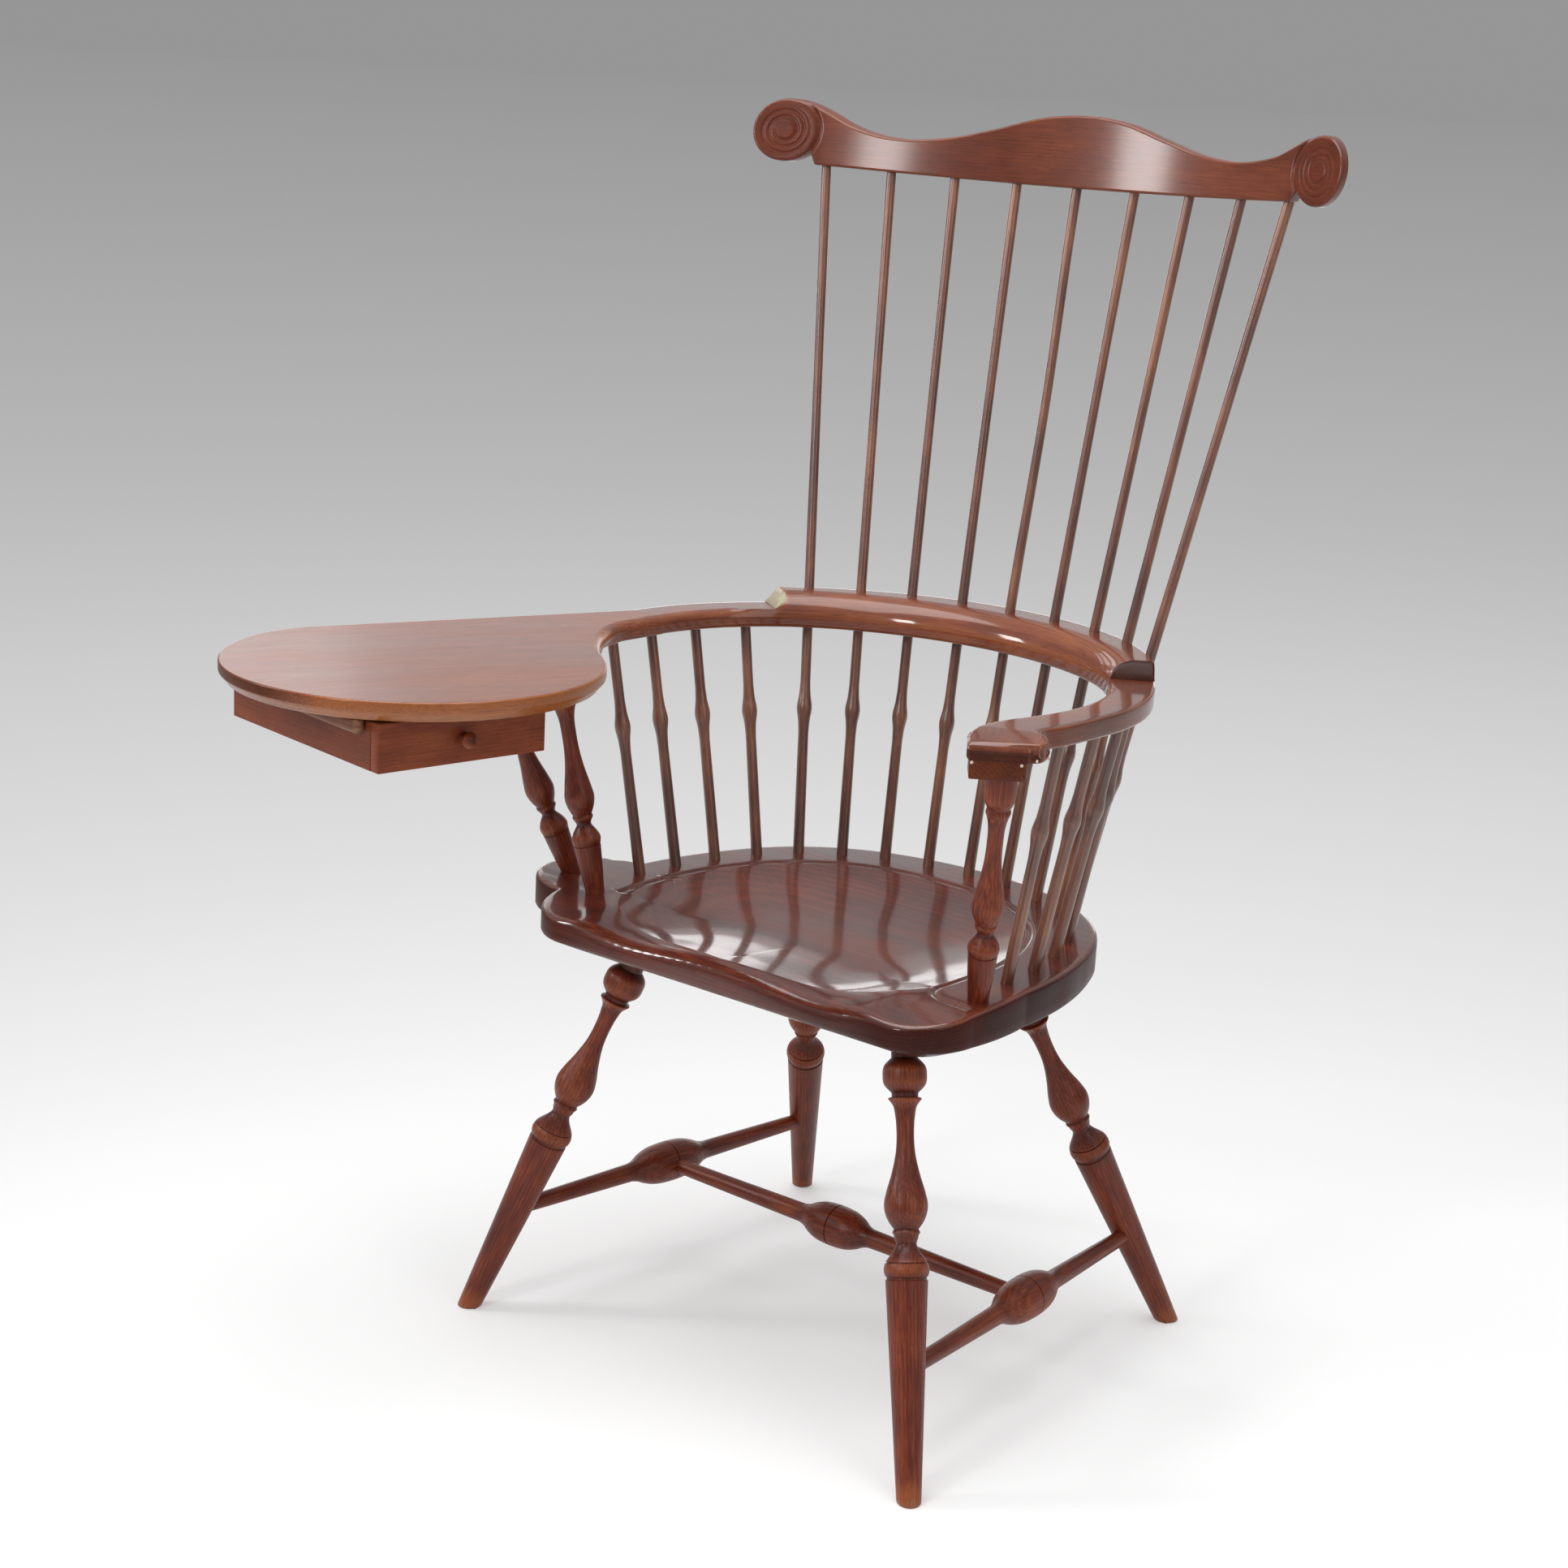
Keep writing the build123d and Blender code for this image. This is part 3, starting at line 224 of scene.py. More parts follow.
def stainedWood(name, wood):
    # Stained hardwood under varnish: long fibres, soft growth bands and short dark pores show
    # through, recesses and end grain are darkened as painted shade and held stain, and edges that
    # hands and feet reach rub pale; the warm and pale marks also carry painted highlights and sheen.
    material = bpy.data.materials.new(name)
    tree = emptyTree(material)
    place = addNode(tree, "Attribute", attribute_name="grain", attribute_type="GEOMETRY").outputs["Vector"]
    wornAndLit = addNode(tree, "Attribute", attribute_name="wearAndLight", attribute_type="GEOMETRY").outputs["Fac"]

    # growth rings round the pith, ringMm apart, drawn out along the wood
    waver = addNode(tree, "Mapping", {0: place, "Scale": (1, 1, 0.12)})
    rings = addNode(tree, "TexWave", {0: waver, "Scale": 314 / wood["ringMm"], "Distortion": 2.2,
                                      "Detail": 3.0, "Detail Scale": 0.7},
                    wave_type="RINGS", rings_direction="Z").outputs["Fac"]
    # long fibres, the cloudy unevenness of a hand-rubbed stain, and short dark pores, which are
    # a little coarser than real ones so that they show
    noises = {}
    for layer, stretch, detail, rough in (("streak", 0.035, 5.0, 0.62), ("cloud", 0.4, 3.0, 0.5),
                                          ("pore", 0.08, 1.0, 0.5)):
        drawn = addNode(tree, "Mapping", {0: place, "Scale": (1, 1, stretch)})
        noises[layer] = addNode(tree, "TexNoise", {0: drawn, "Scale": 1000 / wood[layer + "Mm"],
                                                   "Detail": detail, "Roughness": rough})
    streaks, cloud, pores = noises.values()
    pores = addNode(tree, "MapRange", {0: pores, 1: wood["poreFrom"], 2: wood["poreFrom"] + 0.08})

    # the three parts of the figure swing about the middle of the colour ramp
    figure = 0.5 - (wood["streakPart"] + wood["ringPart"] + wood["cloudPart"]) / 2
    for layer, part in ((rings, "ringPart"), (streaks, "streakPart"), (cloud, "cloudPart")):
        figure = addNode(tree, "Math", {0: layer, 1: wood[part], 2: figure}, operation="MULTIPLY_ADD")
    tones = [(0.0, wood["dark"]), (0.5, wood["body"]), (1.0, wood["light"])]
    colour = addNode(tree, "ValToRGB", {0: figure}, tones)

    # pores are dark, recesses and end grain darken as painted shade and held stain, and rubbed
    # places show warm and then pale wood, broken up by the fibres; these warm and pale tones also
    # carry painted highlights and sheen
    poreTone = addNode(tree, "Math", {0: pores, 1: wood["poreTone"]}, operation="MULTIPLY")
    shadeAndStain = addNode(tree, "MapRange", {0: wornAndLit, 1: 0.0, 2: -1.0, 3: 0.0, 4: 0.8})
    ragged = addNode(tree, "Math", {0: streaks, 1: 0.9, 2: -0.45}, operation="MULTIPLY_ADD")
    litAndRubbed = addNode(tree, "Math", {0: wornAndLit, 1: ragged}, operation="ADD")
    warmRubAndSheen = addNode(tree, "MapRange", {0: litAndRubbed, 1: 0.1, 2: 0.8, 3: 0.0, 4: 0.6})
    bareAndGlint = addNode(tree, "MapRange", {0: litAndRubbed, 1: 1.0, 2: 1.6})
    for amount, shade, blend in ((poreTone, "pore", "MIX"), (shadeAndStain, "shadeAndStain", "MULTIPLY"),
                                 (warmRubAndSheen, "edge", "MIX"), (bareAndGlint, "bareAndGlint", "MIX")):
        colour = addNode(tree, "Mix", {0: amount, 6: colour, 7: linear(wood[shade])},
                         data_type="RGBA", blend_type=blend).outputs[2]

    # varnish: fibres telegraph through it and it dulls where it is rubbed
    dull = addNode(tree, "MapRange", {0: cloud, 1: 0.35, 2: 0.65, 3: wood["roughness"] - 0.06,
                                      4: wood["roughness"] + 0.08})
    duller = addNode(tree, "Math", {0: bareAndGlint, 1: 0.3, 2: dull}, operation="MULTIPLY_ADD")
    relief = addNode(tree, "Math", {0: pores, 1: -1.2, 2: streaks}, operation="MULTIPLY_ADD")
    ripple = addNode(tree, "Bump", {"Strength": wood["bump"], "Distance": 0.0003, "Height": relief})
    wobble = addNode(tree, "TexNoise", {0: place, "Scale": 1000 / 26, "Detail": 1.0})
    handWork = addNode(tree, "Bump", {"Strength": 0.25, "Distance": 0.0008, "Height": wobble,
                                      "Normal": ripple})
    # the varnish is thin on end grain, in recesses and where it is rubbed through
    film = addNode(tree, "MapRange", {0: wornAndLit, 1: -0.6, 2: -0.1, 3: 0.05 * wood["coat"], 4: wood["coat"]})
    left = addNode(tree, "MapRange", {0: bareAndGlint, 1: 0.0, 2: 1.0, 3: 1.0, 4: 0.1})
    coat = addNode(tree, "Math", {0: film, 1: left}, operation="MULTIPLY")
    shader = addNode(tree, "BsdfPrincipled", {
        "Base Color": colour, "Roughness": duller, "IOR": 1.5, "Specular IOR Level": wood["gloss"],
        "Coat Weight": coat, "Coat IOR": 1.5, "Coat Roughness": wood["coatRoughness"], "Normal": handWork})
    addNode(tree, "OutputMaterial", {"Surface": shader})
    return material


# each wood's darkening colour tints recesses as painted shade and end grain as held stain; the bare colour is
# pale rubbed wood and also paints highlights
varnish = {"ringMm": 3.5, "streakMm": 1.5, "poreMm": 0.8, "cloudMm": 38.0, "poreFrom": 0.64, "poreTone": 0.5,
           "ringPart": 0.22, "streakPart": 2.0, "cloudPart": 1.6, "roughness": 0.4, "gloss": 0.35,
           "coat": 0.0, "coatRoughness": 0.2, "bump": 0.25,
           "shadeAndStain": "#472218", "bareAndGlint": "#a3a18b", "pore": "#220c06"}
woods = {
    "turnedMaple": dict(varnish, dark="#4a190c", body="#6b2812", light="#8c4320", edge="#9c5329"),
    "spindleHickory": dict(varnish, dark="#452013", body="#68351f", light="#8a5536", edge="#9a6440",
                           streakMm=1.0, coat=1.0, coatRoughness=0.3, gloss=0.5, cloudPart=2.4,
                           streakPart=1.5),
    "armMaple": dict(varnish, dark="#4c1d0c", body="#6a2e14", light="#854521", edge="#94552c",
                     coat=0.85, coatRoughness=0.085, gloss=0.2, streakPart=1.1, ringPart=0.08),
    # the block is the arm's maple in darker tones: painted shade under the hand
    "blockMapleShaded": dict(varnish, dark="#42190b", body="#58260f", light="#6e3618", edge="#8a4c26", gloss=0.2),
    # pale peg wood that paints the highlight dots on the hand
    "pegPaleHighlight": dict(varnish, dark="#b89478", body="#d2b49c", light="#e4cdb8", edge="#eedccc", coat=0.8,
                     pore="#8a6248", shadeAndStain="#b09080"),
    "combMaple": dict(varnish, dark="#481806", body="#61260a", light="#753514", edge="#7c401e",
                      coat=0.55, coatRoughness=0.15, gloss=0.2, streakPart=1.2, ringPart=0.06,
                      shadeAndStain="#c8a494"),
    # its bright gold edge tone paints the reflection on the lower bevel and the light on the near rim
    "tabletMahogany": dict(varnish, dark="#562610", body="#73371c", light="#8c502e", edge="#bb6f30",
                           poreTone=0.8, poreMm=1.1, coat=0.72, gloss=0.15, ringPart=0.1,
                           streakPart=1.6, cloudMm=90.0, cloudPart=1.1),
    "seatMahogany": dict(varnish, dark="#37120a", body="#501c10", light="#6c2c1a", edge="#96502e",
                         coat=1.0, coatRoughness=0.105, gloss=0.15, bump=0.12, cloudMm=60.0,
                         streakPart=1.4, shadeAndStain="#7a4a3a"),
    "drawerMahogany": dict(varnish, dark="#632912", body="#803c20", light="#964f2d", edge="#935430",
                           cloudMm=30.0, ringPart=0.1, streakPart=1.0, gloss=0.25),
    "cleatBirch": dict(varnish, dark="#58301f", body="#724530", light="#8a5a40", edge="#9c7256",
                       streakPart=1.0, gloss=0.25),
    "drawerPine": dict(varnish, dark="#84592f", body="#9c7244", light="#b48e60", edge="#c09a6c",
                       roughness=0.6, pore="#6b4526", shadeAndStain="#9a7a58", ringMm=6.0, ringPart=0.5),
}
materials = {name: stainedWood(name, wood) for name, wood in woods.items()}
print("materials", len(materials))


# turned pieces: legs, stretchers, posts, spindles, knob

def sampleProfile(runs, step):
    # distance and radius along the axis: a lone point ends a straight run, a list a smooth one
    profile = [runs[0]]
    for run in runs[1:]:
        a, radius = profile[-1]
        if isinstance(run, tuple):
            count = max(1, int(abs(run[0] - a) / 9))
            profile += [(a + (run[0] - a) * k / count, radius + (run[1] - radius) * k / count)
                        for k in range(1, count + 1)]
        else:
            profile += list(smoothCurve([(a, radius)] + run, step)[1:])
    return np.array(profile)


def turnPiece(node, start, end, runs, look="turnedMaple", sides=40, step=1.6, onFloor=False, bow=None):
    along = (end - start).normalized()
    side = along.orthogonal().normalized()
    places, radii = sampleProfile(runs, step).T
    ring = unit(np.linspace(0, 2 * pi, sides, endpoint=False))
    local = [(x * radius, y * radius, place) for place, radius in zip(places, radii) for x, y in ring]
    local = np.array(local + [(0, 0, places[0]), (0, 0, places[-1])])
    # high turnings rub pale, and the hollows are darkened as painted shade
    near = np.abs(places[:, None] - places) < 11.0
    wearAndLight = np.clip((radii - near @ radii / near.sum(1)) / 3.6, -1.0, 0.45)
    if onFloor:
        # the foot is scuffed bare near its end
        wearAndLight += np.interp((end - start).length - places, [-30, 8, 17, 34], [1.3, 0.95, 0.3, 0])
    verts = local @ np.array([side, along.cross(side), along]) + np.array(start)
    if bow:
        verts[:, 0] += bow(local[:, 2])
    seed = sum(ord(c) for c in pieceName(node))
    pith = np.array([18.0 + seed * 7 % 23, 12.0 + seed * 13 % 19, seed * 37 % 400])
    makePiece(node, look, verts, gridFaces(len(places), sides, True), local + pith,
              np.append(np.repeat(wearAndLight, sides), wearAndLight[[0, -1]]), onFloor=onFloor)


leg = {"inset": {"front": (92.6, 83.6), "back": (128.0, 128.0)},
       "lean": {"front": (0.304, 0.281), "back": (0.30, 0.419)},
       "seatBack": 219.57, "footRadius": 11.3, "taper": 225.5, "taperRadius": 19.4, "past": 25.0}


def legEnds(side, end):
    (insetX, insetY), (leanX, leanY) = leg["inset"][end], leg["lean"][end]
    into = 1 if end == "front" else -1
    x = side * (seatHalfWidth - insetX)
    y = (-seatFront if end == "front" else leg["seatBack"]) + into * insetY
    foot = Vector((x + side * leanX * seatUnder, y - into * leanY * seatUnder, 0))
    return foot, Vector((x, y, seatUnder))


def legRuns(length):
    slope = (leg["taperRadius"] - leg["footRadius"]) / (length - leg["taper"])
    return [
        (-12, 12.3), (25, 12.3), [(31.4, 18.4), (41, 20.4), (50.6, 18.4), (57, 12.3)],
        (60.5, 12.1), (61.6, 15.3), (62.6, 15.5),
        [(67.9, 11.4), (77.3, 9.2), (91.5, 8.1), (110.4, 8.9), (130.4, 13.1), (148.1, 18.3),
         (157.6, 20.1), (165.8, 19.1), (174.1, 15.5), (180, 11.3)],
        [(182.7, 12.8), (185.3, 11.3)], (188, 10.9), [(193.1, 9.4), (198.9, 11.8), (207, 17.6), (209, 18.9)],
        (209.3, 18.0), (210.1, 18.2), (210.4, 19.6), [(215.2, 20.8), (219, 20.5), (222, 19.4)],
        (222.6, 18.3), (224.8, 18.3), (leg["taper"], leg["taperRadius"]),
        (length + leg["past"], leg["footRadius"] - slope * leg["past"])]


for end in ("front", "back"):
    for word, side in bothSides.items():
        foot, head = legEnds(side, end)
        runs = legRuns((foot - head).length)
        turnPiece(f"leg_{end}_{word}", head, foot, runs, sides=44, step=1.4, onFloor=True)
print("legs")

stretcher = {"height": {"front": 108.0, "back": 100.0}, "endRadius": 7.8, "swell": 9.7, "bulb": 21.3,
             "sideHalf": 54.0, "centreHalf": 44.0, "into": 5.0, "rod": 23.4}


def reachInto(start, end):
    # the axis goes on a little past the middle of the wood at both ends
    into = (end - start).normalized() * stretcher["into"]
    return start - into, end + into


def sideLine(side):
    ends = []
    for end, height in stretcher["height"].items():
        foot, head = legEnds(side, end)
        ends.append(foot + (head - foot) * (height / head.z))
    return reachInto(*ends)


def stretcherRuns(length, half):
    mid, rod, end = length / 2, stretcher["rod"], stretcher["endRadius"]
    swell, bulb = stretcher["swell"], stretcher["bulb"]
    shape = [(-0.83, swell + 2.2), (-0.66, bulb - 5.4), (-0.45, bulb - 1.9), (-0.2, bulb - 0.3)]
    return [(0, end), (rod, end), (mid - half, swell),
            [(mid + share * half, radius) for share, radius in shape] + [(mid - 0.9, bulb)],
            (mid - 0.4, bulb - 1.1), (mid + 0.4, bulb - 1.1), (mid + 0.9, bulb),
            [(mid - share * half, radius) for share, radius in shape[::-1]] + [(mid + half, swell)],
            (length - rod, end), (length, end)]


stretchers = {f"side_stretcher_{word}": sideLine(side) for word, side in bothSides.items()}
stretchers["centre_stretcher"] = reachInto(*[(start + end) / 2 for start, end in stretchers.values()])
for node, (start, end) in stretchers.items():
    half = stretcher["centreHalf" if node == "centre_stretcher" else "sideHalf"]
    turnPiece(node, start, end, stretcherRuns((end - start).length, half))
print("stretchers")

blockHeight = 17.5
posts = {"arm_stump": ((237.0, -121.0, seatTop), (269.5, -155.8, armUnder - blockHeight)),
         "tablet_post_front": ((-219.0, -139.0, seatTop), (-258.0, -165.0, armUnder)),
         "tablet_post_back": ((-278.0, -111.0, seatTop), (-329.0, -194.0, armUnder))}


def postRuns(length):
    return [
        (-6, 9.6), (1.5, 9.6), [(24, 11.8), (46.5, 13.4)], (46.9, 12.6), (47.6, 12.7), (48, 13.6),
        [(54, 14.4), (59, 12.6), (64, 9.5), (68, 7.1), (72.5, 8.7)], [(75.5, 10.3), (78, 9.5)],
        [(86.5, 13.1), (94.5, 14.7), (106.5, 13.2), (124.5, 9.8), (142, 7.7), (158, 7.2),
         (180, 8.6), (185.5, 10.0)],
        [(188.5, 11.2), (192, 10.6)], (193, 10.2), [(200, 13.3), (207, 14.3)], (length + 3, 14.3)]


for node, ends in posts.items():
    start, end = map(Vector, ends)
    turnPiece(node, start, end, postRuns((end - start).length))
print("posts")


# seat

seat = {"waist": -70.0, "sideRadius": 400.0, "sideTurn": 24.5, "shoulderRadius": 200.0, "shoulderTurn": 45.7,
        "cornerRadius": 60.0, "lobe": (-262.0, -95.0), "lobeRadius": 58.5, "spindleInset": 28.0,
        "spindlePitch": 53.9, "sideHeight": 34.0, "bevel": 30.0, "edgeRound": 5.0, "frontRound": 14.0,
        "centre": (0.0, -60.0), "columns": 600}


def seatEdgeLine(inset, count=60):
    # side, shoulder and back arcs, from the front of the left side round to the right one
    gap = seat["sideRadius"] - seat["shoulderRadius"]
    turn, backTurn = seat["sideTurn"], 90 - seat["sideTurn"] - seat["shoulderTurn"]
    side = np.array([seatHalfWidth - seat["sideRadius"], seat["waist"]])
    shoulder = side + gap * unit(radians(turn))
    extra = shoulder[0] / sin(radians(backTurn))
    back = (0, shoulder[1] - extra * cos(radians(backTurn)))
    half = np.vstack([
        arcPoints(side, seat["sideRadius"] - inset, 0, turn, count),
        arcPoints(shoulder, seat["shoulderRadius"] - inset, turn, 90 - backTurn, count)[1:],
        arcPoints(back, seat["shoulderRadius"] + extra - inset, 90 - backTurn, 90, count // 2)[1:]])
    return np.vstack([half, half[::-1][1:] * flip])


def seatReach(angles, inset):
    # distance from the seat's centre to its edge, lobe included
    corner = np.array([-seatHalfWidth, -seatFront]) + seat["cornerRadius"]
    right = arcPoints(corner, seat["cornerRadius"] - inset, 180, 270, 30)
    left = right[::-1] * flip
    centre = np.array(seat["centre"])
    loop = np.vstack([seatEdgeLine(inset), right, np.linspace(right[-1], left[0], 30)[1:-1], left]) - centre
    around = np.arctan2(loop[:, 1], loop[:, 0])
    order = np.argsort(around)
    far = np.interp(angles, around[order], np.hypot(*loop[order].T), period=2 * pi)
    lobe = np.array(seat["lobe"]) - centre
    ahead = unit(angles) @ lobe
    room = (seat["lobeRadius"] - inset) ** 2 - (lobe @ lobe - ahead**2)
    lobeFar = np.where((room > 0) & (ahead > 0), ahead + np.sqrt(np.maximum(room, 0)), 0)
    return np.maximum(far, lobeFar)


gutterShift = np.array([-4.0, 0.0])
gutterSide = throughPoints([(0, 155), (55, 151), (105, 131), (148, 95), (178, 46), (196, -19), (198, -80),
                            (196, -122)], 6)
ridgeSide = throughPoints([(196, -122), (172, -153), (120, -178), (60, -190), (0, -198)], 6)
gutterLines = [gutterSide + gutterShift, gutterSide * flip + gutterShift,
               throughPoints([(192, -122), (196, -133), (205, -140), (222, -143), (242, -143)], 5)]
bowlLoop = np.vstack([gutterLines[1][::-1], gutterLines[0][1:], (ridgeSide + gutterShift)[1:],
                      (ridgeSide * flip + gutterShift)[::-1][1:-1]])


def seatHeight(points):
    x, y = points.T
    away = np.abs(x)
    inside = insidePolygon(points, bowlLoop)
    inward = np.where(inside, lineDistance(points, np.vstack([bowlLoop, bowlLoop[:1]])), 0)
    share = np.clip(inward / 135.0, 0, 1)
    run = smoothStep((-40 - y) / 120.0)
    bowl = 16.0 * (1 - (1 - share) ** (2.4 - 1.15 * run)) * (1 - 0.08 * run)
    thigh = 5.5 * bell((away - 106) / 58.0) * run
    pommel = -4.5 * smoothStep((-60 - y) / 110.0) * (1 - smoothStep((away - 120) / 60))
    ridgeY = np.interp(away, [0, 60, 120, 172, 196, 256], [-198, -190, -178, -153, -122, -96])
    front = np.clip((ridgeY - y) / np.maximum(ridgeY + seatFront + 4, 10), 0, 1.2)
    fall = np.where(inside, 0, (6.0 + 7.0 * smoothStep((away - 120) / 110.0)) * front**1.6)
    fall = np.where(x < -205, fall * smoothStep((-118 - y) / 30.0), fall)
    # the scratched gutter round the bowl, and its loop before the stump
    gutter = np.min([lineDistance(points, line) for line in gutterLines], 0)
    return seatTop - bowl - thigh - fall + pommel - 2.3 * bell(gutter / 2.3)


def makeSeat():
    columns, centre = seat["columns"], np.array(seat["centre"])
    angles = np.linspace(-pi, pi, columns, endpoint=False)
    farthest, inner = seatReach(angles, 0), seatReach(angles, seat["frontRound"])
    # the upper edge is eased all round and rolls over softly at the front
    frontal = smoothStep((-0.5 - np.sin(angles)) / 0.25)
    edge = seat["edgeRound"] + (seat["frontRound"] - seat["edgeRound"]) * frontal
    # end grain at the sides soaks up stain, and the sides and back are painted darker than the front as shade
    soakedAndShaded = 0.4 - 0.35 * frontal + 0.6 * np.cos(angles) ** 2
    rings = []

    def ringAt(reach):
        return centre + unit(angles) * reach[:, None]

    def edgeAt(share):
        return ringAt(farthest + (inner - farthest) * share * edge / seat["frontRound"])

    def addRing(ring, height, wearAndLight):
        rings.append(np.column_stack([ring, *(np.broadcast_to(part, columns) for part in (height, wearAndLight))]))

    low, rim = ringAt(seatReach(angles, seat["bevel"])), edgeAt(1)
    lip = seatHeight(rim)
    for share in (0.02, 0.35, 0.7, 0.95, 1.0):
        addRing(centre + (low - centre) * share, seatUnder, 0)
    foot = seatTop - seat["sideHeight"]
    for share in (0.2, 0.5, 0.8, 0.95):
        under = seatReach(angles, seat["bevel"] * (1 - share))
        addRing(ringAt(under), seatUnder + (foot - seatUnder) * share, -soakedAndShaded)
    foot += 2.0
    addRing(ringAt(farthest), foot, 0.1 - soakedAndShaded)
    for share in (0.3, 0.65, 1.0):
        addRing(ringAt(farthest), foot + (lip - edge - foot) * share, -soakedAndShaded)
    for turn in (22, 45, 68, 90):
        c, s = unit(radians(turn))
        addRing(edgeAt(1 - c), lip - edge * (1 - s), 0.28 - 0.13 * frontal - (soakedAndShaded if turn == 22 else 0))
    for share in np.concatenate([np.linspace(0.99, 0.62, 62), np.linspace(0.61, 0.03, 40)]):
        ring = centre + (rim - centre) * share
        addRing(ring, seatHeight(ring), 0)
    rings += [[(*centre, seatUnder, 0)], [(*centre, seatHeight(centre[None])[0], 0)]]
    data = np.vstack(rings)
    makePiece("seat", "seatMahogany", data[:, :3], gridFaces(len(rings) - 2, columns, True),
              levelGrain(data[:, :3], 0, (40.0, 210.0, 0.0)), data[:, 3], 50.0)


makeSeat()
print("seat")


# arm rail, crest and knuckle hand

rail = {"innerX": 249.0, "width": 43.0, "cornerRadius": 203.0, "bend": 30.0, "backInner": 192.12,
        "backWidth": 60.0, "crestSpan": 54.0, "crestRamp": 14.5, "roll": 26.6,
        "rollMiddle": 684.9, "round": 9.0}
cornerX = rail["innerX"] - rail["cornerRadius"]
innerBackRadius = rail["cornerRadius"] + cornerX / sin(radians(rail["bend"]))
innerBackY = rail["backInner"] - innerBackRadius
cornerY = innerBackY + (innerBackRadius - rail["cornerRadius"]) * cos(radians(rail["bend"]))
outerCorner = rail["cornerRadius"] + rail["width"]
outerReach = rail["backInner"] + rail["backWidth"] - outerCorner
outerBackY = (outerReach**2 - cornerX**2 - cornerY**2) / (2 * (outerReach - cornerY))
outerBackRadius = rail["backInner"] + rail["backWidth"] - outerBackY
outerBend = degrees(atan2(cornerX, cornerY - outerBackY))
corner = (cornerX, cornerY)
railInner = np.vstack([arcPoints((0, innerBackY), innerBackRadius, 90, 90 - rail["bend"], 30),
                       arcPoints(corner, rail["cornerRadius"], 90 - rail["bend"], 0, 50)[1:]])
railOuter = np.vstack([arcPoints((0, outerBackY), outerBackRadius, 90, 90 - outerBend, 60),
                       arcPoints(corner, outerCorner, 90 - outerBend, 0, 30)[1:]])


def roundedSection(width, low, high, radii, across, roll=None):
    # closed section from the low inner corner up and round, and the marks of its rounds; radii at
    # low inner, high inner, high outer, low outer; a roll is the centre height and radius of a
    # larger upper inner round
    lowIn, highIn, highOut, lowOut = radii
    middle, radius = roll or (high - highIn, highIn)
    start = degrees(asin(min(max(low - middle, 0) / radius, 1)))
    end = degrees(asin(min((high - middle) / radius, 1)))
    foot = radius * (1 - cos(radians(start)))
    corners = [(arcPoints((foot + lowIn, low + lowIn), lowIn, 270, 180, 6), lowIn, 2),
               (arcPoints((radius, middle), radius, 180 - start, 180 - end, 14), radius, across),
               (arcPoints((width - highOut, high - highOut), highOut, 90, 0, 6), highOut, 2),
               (arcPoints((width - lowOut, low + lowOut), lowOut, 0, -90, 6), lowOut, across)]
    parts = []
    for i, (arc, size, extra) in enumerate(corners):
        mark = (np.abs(np.linspace(-1, 1, len(arc))) < 0.67) * (size > 1)
        flat = np.linspace(arc[-1], corners[(i + 1) % 4][0][0], extra + 2)[1:-1]
        parts += [np.column_stack([arc, mark]), np.column_stack([flat, np.zeros(extra)])]
    return np.vstack(parts).T


def sweepPiece(node, look, inner, outer, lows, highs, radii, rolls=None, edgeWear=0.3, endWear=0.0,
               sharp=38.0, paintedShade=None):
    # rounded section drawn along two edge lines; endWear marks each station, and a given function darkens
    # points as painted shade
    count = len(inner)
    lows, highs, endWear = (np.broadcast_to(values, count) for values in (lows, highs, endWear))
    widths, lengths = np.hypot(*(outer - inner).T), pathLengths((inner + outer) / 2)
    radii = np.minimum(radii, 0.48 * np.minimum(widths, highs - lows)[:, None])
    verts, grain, wearAndLight = [], [], []
    for i, width in enumerate(widths):
        across, up, mark = roundedSection(width, lows[i], highs[i], radii[i], 7, rolls and rolls[i])
        verts.append(np.column_stack([inner[i] + across[:, None] * (outer[i] - inner[i]) / width, up]))
        grain.append(np.column_stack([across - width / 2 + 45.0, up - lows[0] + 32.0,
                                      np.full(len(up), lengths[i])]))
        aloft = np.clip((up - lows[i]) / (highs[i] - lows[i]) * 3 - 0.6, 0, 1)
        wearAndLight.append(mark * edgeWear + aloft * endWear[i])
    verts, wearAndLight = np.vstack(verts), np.concatenate(wearAndLight)
    if paintedShade:
        wearAndLight = wearAndLight - paintedShade(verts)
    makePiece(node, look, verts, gridFaces(count, len(up)), np.vstack(grain), wearAndLight, sharp)


hand = {"turn": 37.0, "front": (283.0, -183.0), "width": 55.0, "bead": 7.0, "overhang": 1.6, "crown": 3.2,
        "slope": 44.0,
        "outer": [(292.0, -60.0), (290.0, -96.0), (286.5, -121.0), (290.0, -131.0), (302.0, -139.0),
                  (309.5, -149.0), (310.5, -160.0)],
        "inner": [(247.5, -60.0), (243.0, -96.0), (237.5, -128.0), (238.0, -152.0), (246.0, -177.0)],
        "blockWidth": 51.0, "blockDepth": 38.0, "blockRoll": 4.0, "pin": 1.5,
        "scroll": {"turns": 2.1, "from": 7.0, "to": 1.4, "start": 0.6, "bead": (1.25, 0.9)}}
handAcross = unit(radians(hand["turn"]))
handForward = -handAcross[::-1] * flip
handFace = np.array(hand["front"]) - handForward * hand["overhang"]


